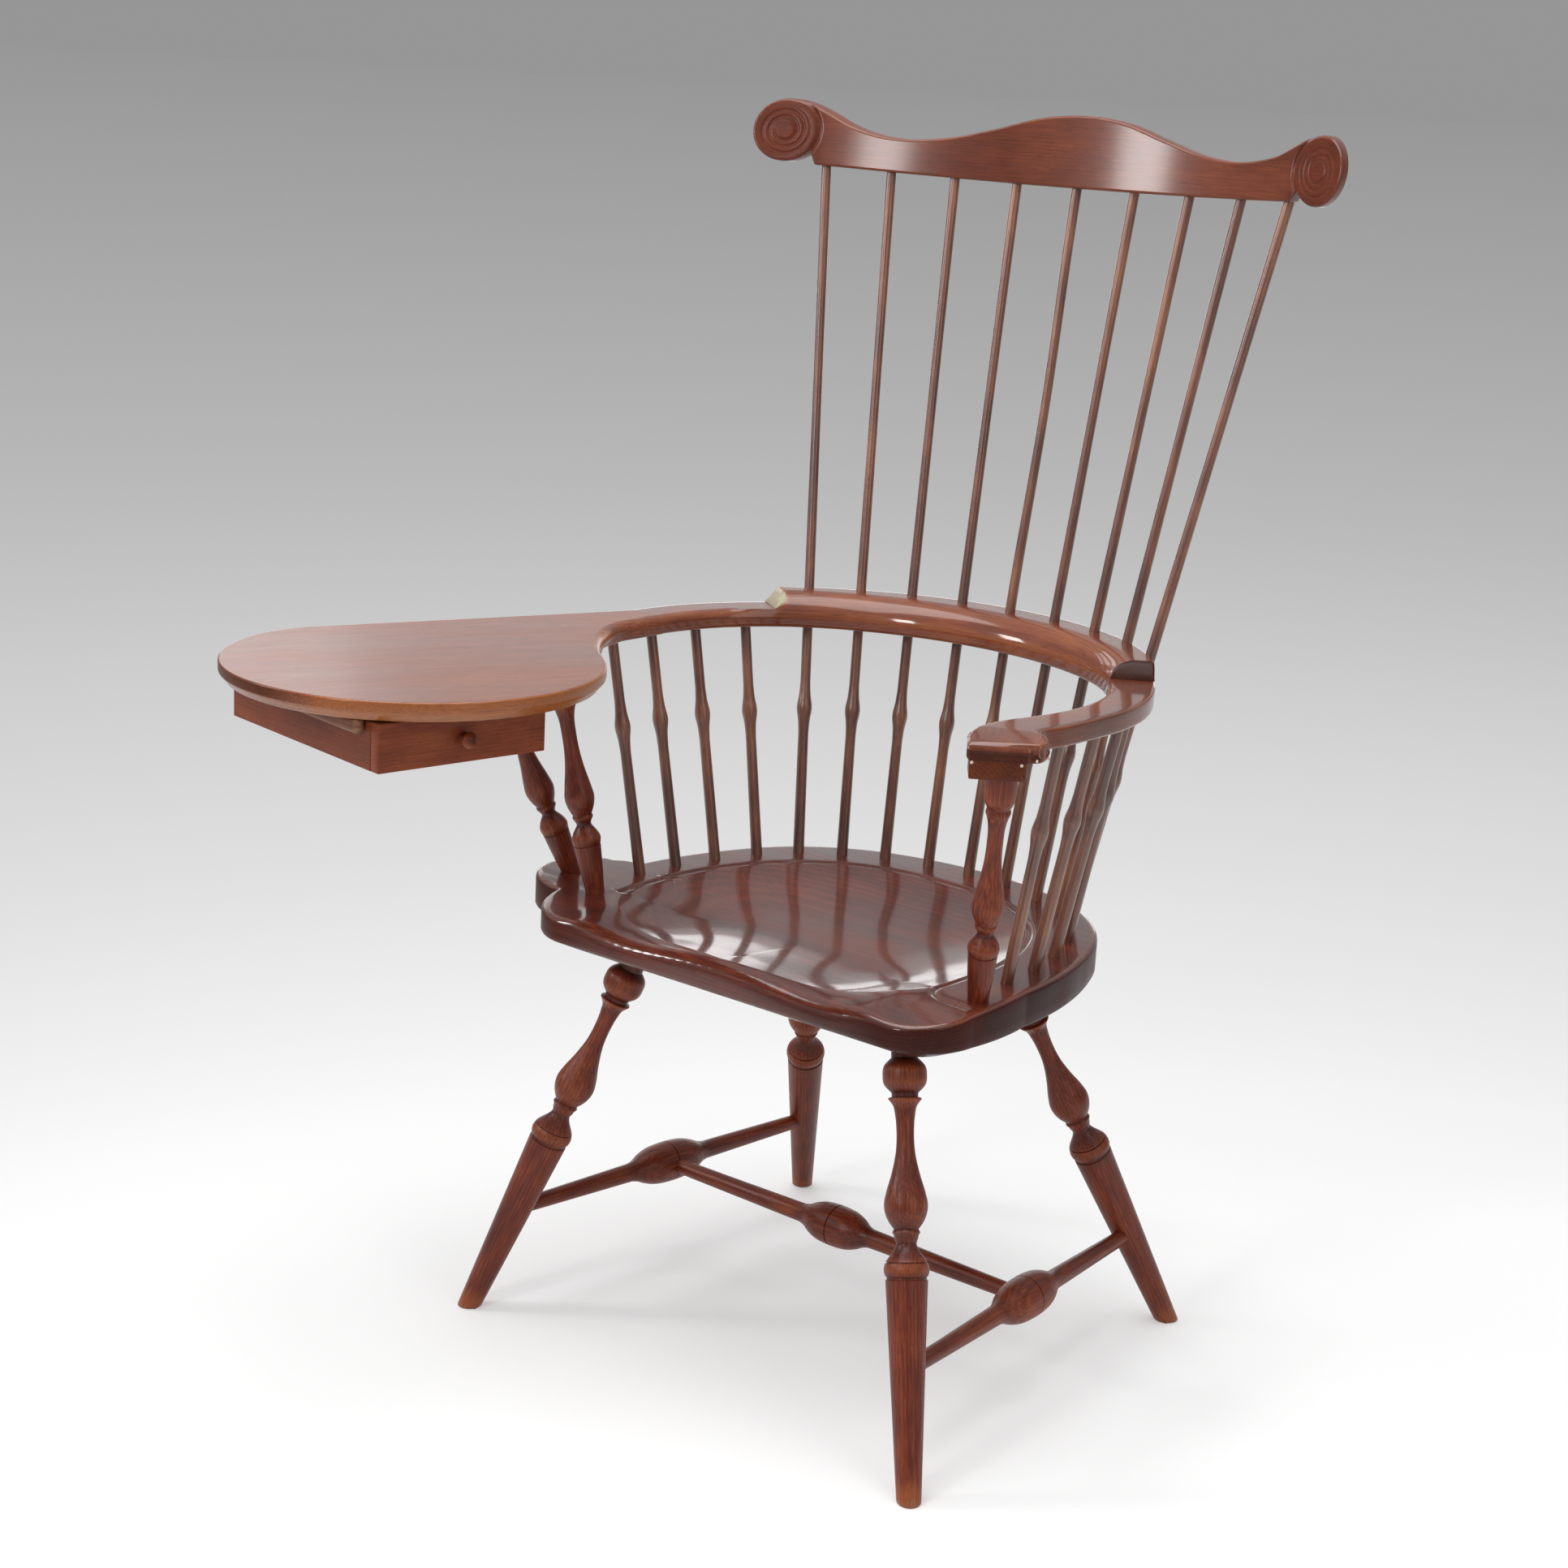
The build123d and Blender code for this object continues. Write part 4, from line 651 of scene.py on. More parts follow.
def railShape(inner, outer, highs):
    # Under the crest the rail's upper edges are square. Before it the upper inner edge is a plain
    # round that swells into the crest's large one.
    radii, rolls = [], []
    for (x, y), high in zip((inner + outer) / 2, np.broadcast_to(highs, len(inner))):
        past = degrees(atan2(abs(x), y - outerBackY)) - rail["crestSpan"]
        radii.append((4.0, 0.05, 0.05, 3.0) if past < -1.5 else (4.0, 3.0, 2.4, 3.0))
        under = 1 - float(smoothStep(radians(past) * outerBackRadius / 60))
        small = rail["round"] - 5.0 * float(smoothStep((-45 - y) / 60))
        rolls.append((under * rail["rollMiddle"] + (1 - under) * (high - small),
                      under * rail["roll"] + (1 - under) * small))
    return radii, rolls


def makeArms():
    tip, bead = handAcross * hand["width"] / 2, hand["bead"]
    handIn = throughPoints([(rail["innerX"], cornerY), *hand["inner"], handFace - tip], 3)
    handOut = throughPoints([(rail["innerX"] + rail["width"], cornerY), *hand["outer"], handFace + tip], 2)
    armIn = np.vstack([evenly(railInner, 70), evenly(handIn, 64)[1:]])
    armOut = np.vstack([evenly(railOuter, 70), evenly(handOut, 64)[1:]])
    ahead = ((armIn + armOut) / 2 - handFace) @ handForward
    crown = hand["crown"] * np.clip(ahead / hand["slope"] + 1, 0, 1.1) ** 2
    back = bead - hand["overhang"]
    highs = armTop - crown - bead + np.sqrt(bead**2 - np.maximum(ahead + back, 0) ** 2)
    # a bead along the hand's front edge hangs over its face
    share = np.array([0.02, 0.35, 0.65, 0.87, 0.98])
    step, middle = share * hand["overhang"], armTop - hand["crown"] - bead
    fore = handFace + step[:, None] * handForward
    slim = (hand["width"] / 2 - 1.5 * share**2)[:, None] * handAcross
    armIn, armOut = np.vstack([armIn, fore - slim]), np.vstack([armOut, fore + slim])
    highs = np.append(highs, middle + np.sqrt(bead**2 - (back + step) ** 2))
    lows = np.append(np.full(len(ahead), armUnder), middle - 3.0 * np.sqrt(1 - share**2))

    def faceShade(points):
        # painted shade: the face under the bead is darkened to match the block below it
        front = smoothStep(((points[:, :2] - handFace) @ handForward + 1.5) / 1.2)
        return 0.75 * front * smoothStep((armTop - bead - 2.0 - points[:, 2]) / 2.0)

    sweepPiece("arm_left", "armMaple", armIn, armOut, lows, highs, *railShape(armIn, armOut, highs),
               0.35, paintedShade=faceShade)
    rightIn, rightOut = evenly(railInner, 80) * flip, evenly(railOuter, 80) * flip
    sweepPiece("arm_right", "armMaple", rightIn, rightOut, armUnder, armTop,
               *railShape(rightIn, rightOut, armTop), 0.35)


def makeCrest():
    span, ramp, count = rail["crestSpan"], rail["crestRamp"], 120
    ways, centre = unit(np.radians(np.linspace(90 - span, 90 + span, count))), np.array([0, outerBackY])
    line = np.vstack([railInner[::-1], (railInner * flip)[1:]]) - centre
    reach = []
    for way in ways:
        across, ahead = np.abs(line @ (-way[1], way[0])), line @ way
        reach.append(ahead[np.argmin(np.where(ahead > 0, across, 1e9))])
    reach = np.convolve(np.pad(reach, 3, "edge"), np.ones(7) / 7, "valid")
    arc = np.radians(np.linspace(0, 2 * span, count)) * outerBackRadius
    rise = smoothStep(np.minimum(arc, arc[::-1]) / ramp) ** 0.8
    # one end is rubbed bare, the other end grain soaked up the stain
    ends = 1.45 * smoothStep((ramp + 2 - arc[::-1]) / 3) - 1.9 * smoothStep((ramp + 2 - arc) / 4)
    sweepPiece("arm_crest", "armMaple", centre + ways * reach[:, None], centre + ways * outerBackRadius,
               armTop + 0.02, armTop + 0.8 + (crestTop - armTop - 0.8) * rise, (0.05, 0.5, 2.6, 0.05),
               [(rail["rollMiddle"], rail["roll"])] * count, 0.3, ends, 45.0)


def makeKnuckle():
    # the block under the hand is flush with its face; its outer side looks forward
    half, depth, roll = hand["blockWidth"] / 2, hand["blockDepth"], hand["blockRoll"]
    turns = np.radians(np.arange(15, 91, 15))
    backs = np.array([depth, depth * 0.7, depth * 0.4, roll, *(roll * (1 - np.sin(turns)))])
    lows = armUnder - blockHeight + np.append(np.zeros(4), roll * (1 - np.cos(turns)))
    mids = handFace - handForward * (backs + 0.3)[:, None]
    sweepPiece("knuckle_block", "blockMapleShaded", mids - handAcross * (half - 1.0),
               mids + handAcross * (half - 1.5 + 0.16 * backs)[:, None], lows, armUnder - 0.15,
               (1.2, 0.3, 0.3, 1.2), edgeWear=0.2)


def handDetail(name, look, centre, outward, rows, columns, shape):
    # small carved piece; shape gives points across, up and out of the hand's side, and their wear
    out = np.array([*outward, 0.0]) / hypot(*outward)
    axes = np.array([np.cross([0, 0, 1], out), (0, 0, 1), out])
    turns = np.tile(2 * pi * np.arange(columns) / columns, len(rows))
    across, up, lift, wearAndLight = shape(np.repeat(rows, columns), turns)
    verts = np.array(centre) + np.column_stack([across, up, lift]) @ axes
    makePiece("arm_left", look, verts, gridFaces(len(rows), columns), verts, wearAndLight, 60.0, name)


def scrollShape(share, turn):
    # a bead that winds in to the scroll's eye; its crest rubs pale and its roots are darkened as painted
    # shade
    scroll = hand["scroll"]
    angle = 2 * pi * scroll["turns"] * share + scroll["start"]
    reach = scroll["from"] + (scroll["to"] - scroll["from"]) * share
    bead = scroll["bead"][0] + (scroll["bead"][1] - scroll["bead"][0]) * share
    side = bead * np.cos(turn)
    return (np.cos(angle) * (1.25 * reach + side), np.sin(angle) * (reach + side),
            0.8 * bead * np.sin(turn), 0.5 * np.maximum(np.sin(turn), -0.6))


def pinShape(ring, turn):
    # round end of a peg; its pale tone and bright marks are a painted highlight
    flat, lift = hand["pin"] * unit(np.radians(18 * ring)).T
    return flat * np.cos(turn), flat * np.sin(turn), 0.7 * lift, 0.4 + 0.25 * ring


makeArms()
makeCrest()
makeKnuckle()
scrolls = {"Outer": ((310.2, -154.5, 685.5), (1.0, -0.08)), "Inner": ((243.5, -170.0, 685.5), (-0.95, -0.3))}
for word, (spot, outward) in scrolls.items():
    handDetail("HandScroll" + word, "armMaple", spot, outward, np.linspace(0, 1, 91), 8, scrollShape)
pins = [((*(handFace + 0.1 * handForward + handAcross * across), height), handForward)
        for across, height in ((-22.5, 674.5), (20.0, 674.0))]
pins += [((310.0, -165.0, 679.5), (1.0, -0.1)), ((309.0, -146.0, 678.5), (1.0, -0.1))]
for number, (spot, outward) in enumerate(pins, 1):
    handDetail(f"HandPin{number}", "pegPaleHighlight", spot, outward, np.arange(6), 16, pinShape)
print("arms")


# spindles

spindle = {"longCount": 4, "shortCount": 4, "seatDepth": 8.0, "armDepth": 6.0, "combDepth": 8.0,
           "shortFirst": -47.7, "shortPitch": 57.5, "combPitch": 70.6, "combRadius": 645.0, "bulb": 8.1,
           "bulbHeight": 149.0}
rowLine = seatEdgeLine(0, 240)
leanBack = 0.1506
combBowY = leg["seatBack"] - seat["spindleInset"] + leanBack * (combUnder - seatTop) - spindle["combRadius"]


def rowPoint(place):
    at = pathLengths(rowLine)[-1] / 2 - place * seat["spindlePitch"]
    here, ahead = alongLine(rowLine, [at, at + 1])
    along = (ahead - here) / hypot(*(ahead - here))
    return Vector((*(here + seat["spindleInset"] * along[::-1] * flip), seatTop))


def middleBow(distance):
    return 3.0 * np.sin(pi * np.clip((distance - 285) / 420, 0, 1)) ** 2


def makeSpindle(node, foot, head, long, bow=None):
    way, deep = (head - foot).normalized(), spindle["seatDepth"]
    start, end = foot - way * deep, head + way * spindle["combDepth" if long else "armDepth"]
    total, scale = (end - start).length, 1 / way.z
    mid = deep + spindle["bulbHeight"] * scale
    runs = [(0, 5.9), (deep + 4, 5.9), (mid - 27, 5.4),
            [(mid - 13.5, 6.2), (mid, spindle["bulb"]), (mid + 13.5, 6.2), (mid + 27, 5.3)]]
    if long:
        above = deep + (crestTop - seatTop) * scale + 6
        comb = deep + (combUnder - seatTop) * scale - 3
        runs += [(above, 5.2), [((above + comb) / 2, 4.7), (comb, 5.1)], (total, 5.1)]
    else:
        runs.append((total, 5.3))
    turnPiece(node, start, end, runs, "spindleHickory", 20, 4.0, bow=bow)


for place in range(-spindle["longCount"], spindle["longCount"] + 1):
    x, y = spindle["combRadius"] * unit(pi / 2 - place * spindle["combPitch"] / spindle["combRadius"])
    makeSpindle(f"long_spindle_{place + spindle['longCount'] + 1}", rowPoint(place),
                Vector((x, combBowY + y, combUnder)), True, None if place else middleBow)
midRadius = rail["cornerRadius"] + rail["width"] / 2
for word, side in bothSides.items():
    for index in range(spindle["shortCount"]):
        along = spindle["shortFirst"] + index * spindle["shortPitch"]
        x, y = midRadius * unit(max(along, 0) / midRadius)
        head = Vector((side * (cornerX + x), cornerY + y + min(along, 0), armUnder))
        foot = rowPoint(side * (spindle["longCount"] + spindle["shortCount"] - index))
        makeSpindle(f"short_spindle_{word}_{index + 1}", foot, head, False)
print("spindles")


# comb with carved ears

comb = {"thickness": 17.0, "half": 281.0, "notch": 288.0, "rise": 6.0,
        "top": [(0, 71), (50, 66.5), (97, 54), (150, 41.5), (195, 37.5), (227, 40.5), (254, 47.8),
                (275, 57.8), (292, 65.2), (305, 69.0)],
        "earAt": 314.0, "earRadius": 32.0, "earHeight": 37.7, "earTilt": 2.2, "earBack": 5.5,
        "edgeRound": 2.6, "bossRadius": 9.0, "coil": 6.4, "carve": 0.42, "rows": 84}
combTop = smoothCurve([(-50, 66.5)] + comb["top"], 3)


def earCentre(x):
    # one ear sits a little higher than the other
    return comb["earHeight"] - comb["earTilt"] * (1 if x > 0 else -1)


def combLimits(x):
    # underside and top above the comb's lowest point, at a distance x from the middle
    away, ear = abs(x), earCentre(x)
    bottomRadius = (comb["half"] ** 2 + comb["rise"] ** 2) / (2 * comb["rise"])
    low = bottomRadius - sqrt(bottomRadius**2 - min(away, comb["half"]) ** 2)
    tilt = (ear - comb["earHeight"]) * float(smoothStep((away - 215) / 80))
    high = float(np.interp(away, *combTop.T)) + tilt
    reach = sqrt(max(comb["earRadius"] ** 2 - (away - comb["earAt"]) ** 2, 0))
    if away > comb["top"][-1][0]:
        high = ear + reach
    if away > comb["notch"]:
        low = ear - reach
    elif away > comb["half"]:
        notch = ear - sqrt(comb["earRadius"] ** 2 - (comb["earAt"] - comb["notch"]) ** 2)
        low += (notch - low) * (away - comb["half"]) / (comb["notch"] - comb["half"])
    return low, high


def earRelief(x, z):
    # the carving on the comb's face: a shallow volute of two and a half turns round a flat boss
    out, up = abs(x) - comb["earAt"], z - earCentre(x)
    radius = np.hypot(out, up)
    fromRim, fromBoss = comb["earRadius"] - radius, radius - comb["bossRadius"]
    turns = (fromRim - 7.0) / comb["coil"] + np.arctan2(up, -out) / (2 * pi)
    groove = smoothStep(1 - np.abs(turns - np.round(turns)) / 0.38)
    coils = smoothStep((fromRim - 6.0) / 2.0) * smoothStep(fromBoss / 1.5)
    boss = 0.5 * smoothStep((0.5 - fromBoss) / 1.2)
    # a cut collar parts the ear from the board, and the ear falls back towards its rim
    collar = 1.9 * bell((fromRim + 1.5) / 1.8) * (out < 6)
    lean = comb["earBack"] * np.clip((abs(x) - comb["half"]) / 65.0, 0, 1) ** 1.3
    return (boss - comb["carve"] * groove * coils - collar - lean) * (abs(x) > 236)


def makeComb():
    rim = comb["earAt"] + comb["earRadius"] * np.sin(np.linspace(0.3, pi / 2 - 0.02, 30))
    fine = comb["half"] - 32
    right = np.concatenate([np.linspace(0, fine, 50)[:-1], np.arange(fine, rim[0] - 0.5, 0.75), rim])
    stations = np.concatenate([-right[:0:-1], right])
    rows, half, soft = comb["rows"], comb["thickness"] / 2, comb["edgeRound"]
    edge = np.array([0, 0.35, 0.9, 1.6, 2.5])
    columns = []
    for x in stations:
        low, high = combLimits(x)
        part = np.minimum(edge, (high - low) * 0.45 * edge / edge[-1])
        inner = np.linspace(low + part[-1], high - part[-1], rows - 2 * len(edge) + 2)
        heights = np.concatenate([low + part[:-1], inner, high - part[:-1][::-1]])
        toEdge = np.minimum(heights - low, high - heights)
        if abs(x) > comb["earAt"]:
            inRound = np.hypot(abs(x) - comb["earAt"], heights - earCentre(x))
            toEdge = np.minimum(toEdge, comb["earRadius"] - inRound)
        gap = np.clip(soft - toEdge, 0, soft)
        thick = half - soft + np.sqrt(soft**2 - gap**2)
        mark = 0.35 * (toEdge < soft)
        # the carved ears are duller than the board
        dull = 0.52 * float(smoothStep((abs(x) - 268) / 18))
        for sign, relief, wearAndLight in ((-1, earRelief(x, heights), mark - dull), (1, 0, mark)):
            radius = spindle["combRadius"] + sign * (thick + relief)
            y = combBowY + np.sqrt(radius**2 - x**2) + leanBack * heights
            columns.append(np.column_stack([np.full(rows, x), y, combUnder + heights, wearAndLight])[::-sign])
    data = np.vstack(columns)
    x, y, up = (data[:, :3] - (0, combBowY, combUnder)).T
    # the board is bent, so its fibres follow the bow
    grain = np.column_stack([np.hypot(x, y - leanBack * up) - spindle["combRadius"] + 30, up + 60, x])
    makePiece("comb", "combMaple", data[:, :3], gridFaces(len(stations), 2 * rows), grain, data[:, 3], 68.0)


makeComb()
print("comb")


# writing tablet

tablet = {"radius": 176.5, "centre": (-251.0, -358.0), "flat": 12.0, "blend": 120.0, "leave": 396.5,
          "notch": [(-126.0, -233.0), (-154.0, -208.0), (-169.5, -195.5), (-187.0, -176.5), (-204.5, -155.5),
                    (-219.0, -137.0), (-230.5, -119.5), (-242.5, -98.0), (-248.8, -78.0), (-249.1, -50.0)],
          "bevelHeight": 9.0, "bevel": 6.0, "into": 5.0, "below": 0.06, "round": 1.8,
          "glintSpot": (-188.0, -178.0)}


def tabletLoop():
    # the same line as the board's own edge, from the rear corner round to the neck
    radius, flat, blend = tablet["radius"], tablet["flat"], tablet["blend"]
    start, centre = np.array([-rail["innerX"] - rail["width"], cornerY]), np.array(tablet["centre"])
    span = hypot(*(centre - start))
    heading = atan2(*(centre - start)[::-1]) - asin((radius - flat) / span)
    along, inward = unit(heading), unit(heading + pi / 2)
    gap = radius - blend
    lineEnd = start + along * (sqrt(span**2 - (radius - flat) ** 2) + sqrt(gap**2 - (gap - flat) ** 2))
    blendCentre = lineEnd + inward * blend
    first, join = (degrees(atan2(*way[::-1])) for way in (-inward, blendCentre - centre))
    join += 360 if join < first else 0
    leave = tablet["leave"]
    leaving = [centre + radius * unit(radians(leave + k)) for k in (-9, -4, 0)]
    neck, root = (tablet["notch"][-1][0], cornerY + tablet["into"]), start + (0.1, tablet["into"])
    return np.vstack([
        root, np.linspace(start, lineEnd, 60), arcPoints(blendCentre, blend, first, join, 24)[1:],
        arcPoints(centre, radius, join, leave - 9, 180)[1:],
        throughPoints(leaving + tablet["notch"] + [neck], 2.5)[1:], np.linspace(neck, root, 12)[1:-1]])


def insetLoop(loop, inset):
    along = np.roll(loop, -1, axis=0) - np.roll(loop, 1, axis=0)
    along /= np.hypot(*along.T)[:, None]
    return loop + along[:, ::-1] * flip * inset[:, None]


def makeTablet():
    loop = tabletLoop()
    count, cut = len(loop), 11
    free = smoothStep((-92 - loop[:, 1]) / 30)        # no bevel along the neck
    # the upper edge's round grows to the arm's own along the inner side of the neck
    neckSide = smoothStep((loop[:, 1] + 212) / 80) * (loop[:, 0] > -262)
    soft = tablet["round"] + (rail["round"] - tablet["round"]) * neckSide
    # painted light and shade: the rim facing front and right is painted warm and light, also over the
    # upper rounding, and the far side is painted dark; the lower bevel is painted warm as a reflection of the
    # pale floor
    outward = loop - insetLoop(loop, np.ones(count))
    facing = np.degrees(np.arctan2(outward[:, 1], outward[:, 0]))
    litAndRubbed = smoothStep((facing + 92) / 26) * smoothStep((150 - facing) / 30)
    side, bevelSheen = -0.7 + 1.25 * litAndRubbed, 0.25 + 0.4 * litAndRubbed
    top, bevel, edge = armTop - tablet["below"], tablet["bevel"] * free, tablet["bevelHeight"]
    levels = []

    def addLevel(inset, height, mark):
        marks = np.broadcast_to(mark, count) * (0.1 + 0.9 * free)
        ring = np.column_stack([insetLoop(loop, inset), np.broadcast_to(height, count), marks])
        # the end inside the arm is a plain cut between the two sides
        last = count - cut
        ring[last, :2] = loop[last] - (min(inset[last], 18), 0)
        ring[0, :2] = loop[0] + (min(inset[0], 18), 0)
        ring[last:] = np.linspace(ring[last], ring[0], cut + 1)[:-1]
        levels.append(ring)

    for inset, height, mark in ((bevel + 26, 0, 0), (bevel + 6, 0, 0), (bevel + 2.6, 0, 0.1),
                                (bevel + 0.7, 0.8, bevelSheen), (bevel * 0.93, 2.6, bevelSheen),
                                (bevel * 0.5, edge * 0.6, bevelSheen), (bevel * 0.06, edge - 0.6, bevelSheen),
                                (bevel * 0, edge + 0.6, side)):
        addLevel(inset, armUnder + height, mark)
    for turn in (0, 22, 45, 68, 90):
        c, s = unit(radians(turn))
        addLevel(soft * (1 - c), top - soft * (1 - s), side * c + 0.2 * sin(radians(2 * turn)))
    for inset in (1.5, 6.0, 28.0):
        addLevel(soft + inset, top, 0)
    # deep insets fold over themselves in the narrow neck, so they stop short of it
    narrow = smoothStep((loop[:, 1] + 215) / 40)[:, None]
    for level, back in ((0, 1), (-1, -2)):
        levels[level][:, :3] = levels[level][:, :3] * (1 - narrow) + levels[back][:, :3] * narrow
    data = np.vstack(levels)
    # painted highlight: a pale spot on the upper edge by the notch
    glintSpot = np.linalg.norm(data[:, :3] - (*tablet["glintSpot"], armTop - 3), axis=1)
    makePiece("writing_tablet", "tabletMahogany", data[:, :3], gridFaces(len(levels), count),
              levelGrain(data[:, :3], 66, (60.0, 640.0, 0.0)), data[:, 3] + 1.4 * bell(glintSpot / 5.0), 50.0)


makeTablet()
print("tablet")


# drawer

drawer = {"turn": -10.0, "face": (-131.0, -409.5), "width": 176.0, "depth": 248.5, "height": 44.4,
          "gap": 2.1, "front": 12.0, "side": 9.0, "back": 8.0, "bottom": 4.0, "rise": 4.0, "groove": 3.0,
          "play": 0.8, "cleatWidth": 11.0, "cleatHeight": 14.0, "cleatLength": 212.0, "cleatSetback": 19.0,
          "cleatRound": 4.2, "edge": 0.9}


def inDrawer(points):
    # back from the face, across it, up from the drawer's base
    back, across, up = np.transpose(points)
    c, s = unit(radians(drawer["turn"]))
    faceX, faceY = drawer["face"]
    return np.column_stack([faceX - back * c - across * s, faceY - back * s + across * c,
                            armUnder - drawer["gap"] - drawer["height"] + up])


def makeBoard(node, look, along, ranges, edge=drawer["edge"], roundEnd=0.0, paintedShade=0.0):
    # board with eased edges, made as a rounded section drawn along one of its three axes
    first, (low, high) = roundEnd or edge, ranges[along]
    one, two = (k for k in range(3) if k != along)
    width, tall = (ranges[k][1] - ranges[k][0] for k in (one, two))
    stations = [(low, first), (low + first * 0.3, first * (0.29 if roundEnd else 0.3)), (low + first, 0),
                (high - edge, 0), (high - edge * 0.3, edge * 0.3), (high, edge)]
    stations += [(place, 0) for place in np.linspace(low + edge + 2, high - edge - 2, 8)]
    verts, grain, wearAndLight = [], [], []
    for at, shrink in sorted(stations):
        radius = min(first * 0.98, (width - 2 * shrink) * 0.48, (tall - 2 * shrink) * 0.48)
        across, up, mark = roundedSection(width - 2 * shrink, shrink, tall - shrink, [radius] * 4, 4)
        points = np.full((len(up), 3), at)
        points[:, one], points[:, two] = ranges[one][0] + shrink + across, ranges[two][0] + up
        verts.append(points)
        grain.append(np.column_stack([across + 25.0, up + 70.0, points[:, along]]))
        # a rounded end is lifted pale by 0.5 as painted light
        wearAndLight.append(0.35 * mark - paintedShade + (0.5 if roundEnd and at < low + roundEnd else 0))
    makePiece(node, look, inDrawer(np.vstack(verts)), gridFaces(len(stations), len(up)), np.vstack(grain),
              np.concatenate(wearAndLight), 35.0)


half, groove, depth, height = drawer["width"] / 2, drawer["groove"], drawer["depth"], drawer["height"]
inside, front, cleatTop = half - drawer["side"], drawer["front"], drawer["height"] + drawer["gap"]
back, upright = (front + 0.1, depth), (0, height)
boards = {
    "drawer_front": ("drawerMahogany", 1, ((0, front), (-half, half), upright)),
    # the sides are darkened by 0.3 as painted shade under the tablet
    "drawer_side_left": ("drawerMahogany", 0, (back, (inside, half), upright), 0.7, 0.0, 0.3),
    "drawer_side_right": ("drawerMahogany", 0, (back, (-half, -inside), upright), 0.7, 0.0, 0.3),
    "drawer_back": ("drawerPine", 1, ((depth - drawer["back"], depth - 0.1), (-inside, inside),
                                      (8.1, height - 0.5)), 0.6),
    "drawer_bottom": ("drawerPine", 1, ((front - groove, depth - 1), (-inside - groove, inside + groove),
                                        (drawer["rise"], drawer["rise"] + drawer["bottom"])), 0.5)}
for word, side in bothSides.items():
    near = half + drawer["play"]
    boards["cleat_" + word] = ("cleatBirch", 0, (
        (drawer["cleatSetback"], drawer["cleatSetback"] + drawer["cleatLength"]),
        sorted((side * near, side * (near + drawer["cleatWidth"]))),
        (cleatTop - drawer["cleatHeight"], cleatTop)), 1.0, drawer["cleatRound"])
for node, board in boards.items():
    makeBoard(node, *board)
knobStart, knobEnd = (Vector(p) for p in inDrawer([(8, 0, height / 2), (-15, 0, height / 2)]))
turnPiece("drawer_knob", knobStart, knobEnd, [
    (0, 4.2), (8.3, 4.2), (8.3, 5.8), [(10.5, 5.4), (12.5, 4.2)],
    [(14.5, 6.0), (17.5, 7.6), (20, 6.3), (22.4, 3.4)], (23, 0.4)], "drawerMahogany", 32, 0.7)
print("drawer")


# joinery that stays as the frame has it, out of sight

def plainFinish(name, low, high, scaleMm, metal, roughness, bump):
    # birch dowels: pale and straight-grained; steel screws: drawn wire with fine marks
    material = bpy.data.materials.new(name)
    tree = emptyTree(material)
    where = addNode(tree, "TexCoord").outputs["Object"]
    stretched = addNode(tree, "Mapping", {0: where, "Scale": (1, 1, 0.1)})
    marks = addNode(tree, "TexNoise", {0: stretched, "Scale": 1000 / scaleMm, "Detail": 4.0})
    colour = addNode(tree, "ValToRGB", {0: marks}, [(0.3, low), (0.7, high)])
    rough = addNode(tree, "MapRange", {0: marks, 1: 0.3, 2: 0.7, 3: roughness - 0.06, 4: roughness + 0.08})
    ripple = addNode(tree, "Bump", {"Strength": bump, "Distance": 0.0002, "Height": marks})
    shader = addNode(tree, "BsdfPrincipled", {"Metallic": metal, "Base Color": colour, "Roughness": rough,
                                              "Normal": ripple})
    addNode(tree, "OutputMaterial", {"Surface": shader})
    return material


dowelBirch = plainFinish("dowelBirch", "#b08a5e", "#d2b48a", 1.2, 0.0, 0.6, 0.3)
screwSteel = plainFinish("screwSteel", "#7c7a76", "#a8a6a2", 0.6, 1.0, 0.35, 0.15)
for node, finish in (("crest_dowels", dowelBirch), ("rail_dowels", dowelBirch), ("cleat_screws", screwSteel)):
    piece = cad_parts[node]
    piece.data.materials.clear()
    piece.data.materials.append(finish)
print("joinery")


# floor, light and camera

studio = {"floorRadius": 250.0, "brightSpot": (0.94, -0.18, 0.0), "paper": "#e8e8e8", "ownTone": 0.33,
          "tones": [(0.0, "#969696"), (0.026, "#9e9e9e"), (0.082, "#ababab"), (0.152, "#b9b9b9"),
                    (0.243, "#cdcdcd"), (0.34, "#dcdcdc"), (0.44, "#e7e7e7"), (0.65, "#f6f6f6"),
                    (0.98, "#ffffff")],
          "sky": [(0.0, "#969696"), (0.2, "#969696"), (0.5, "#c4c4c4"), (1.0, "#e0e0e0")], "fill": 0.4}


def seenRays(tree):
    # 1 for rays from the camera, also by way of gloss or glass, and 0 for light on matt surfaces
    path = addNode(tree, "LightPath").outputs
    seen = addNode(tree, "Math", {0: path["Is Camera Ray"], 1: path["Is Glossy Ray"]}, operation="MAXIMUM")
    return addNode(tree, "Math", {0: seen, 1: path["Is Transmission Ray"]}, operation="MAXIMUM")


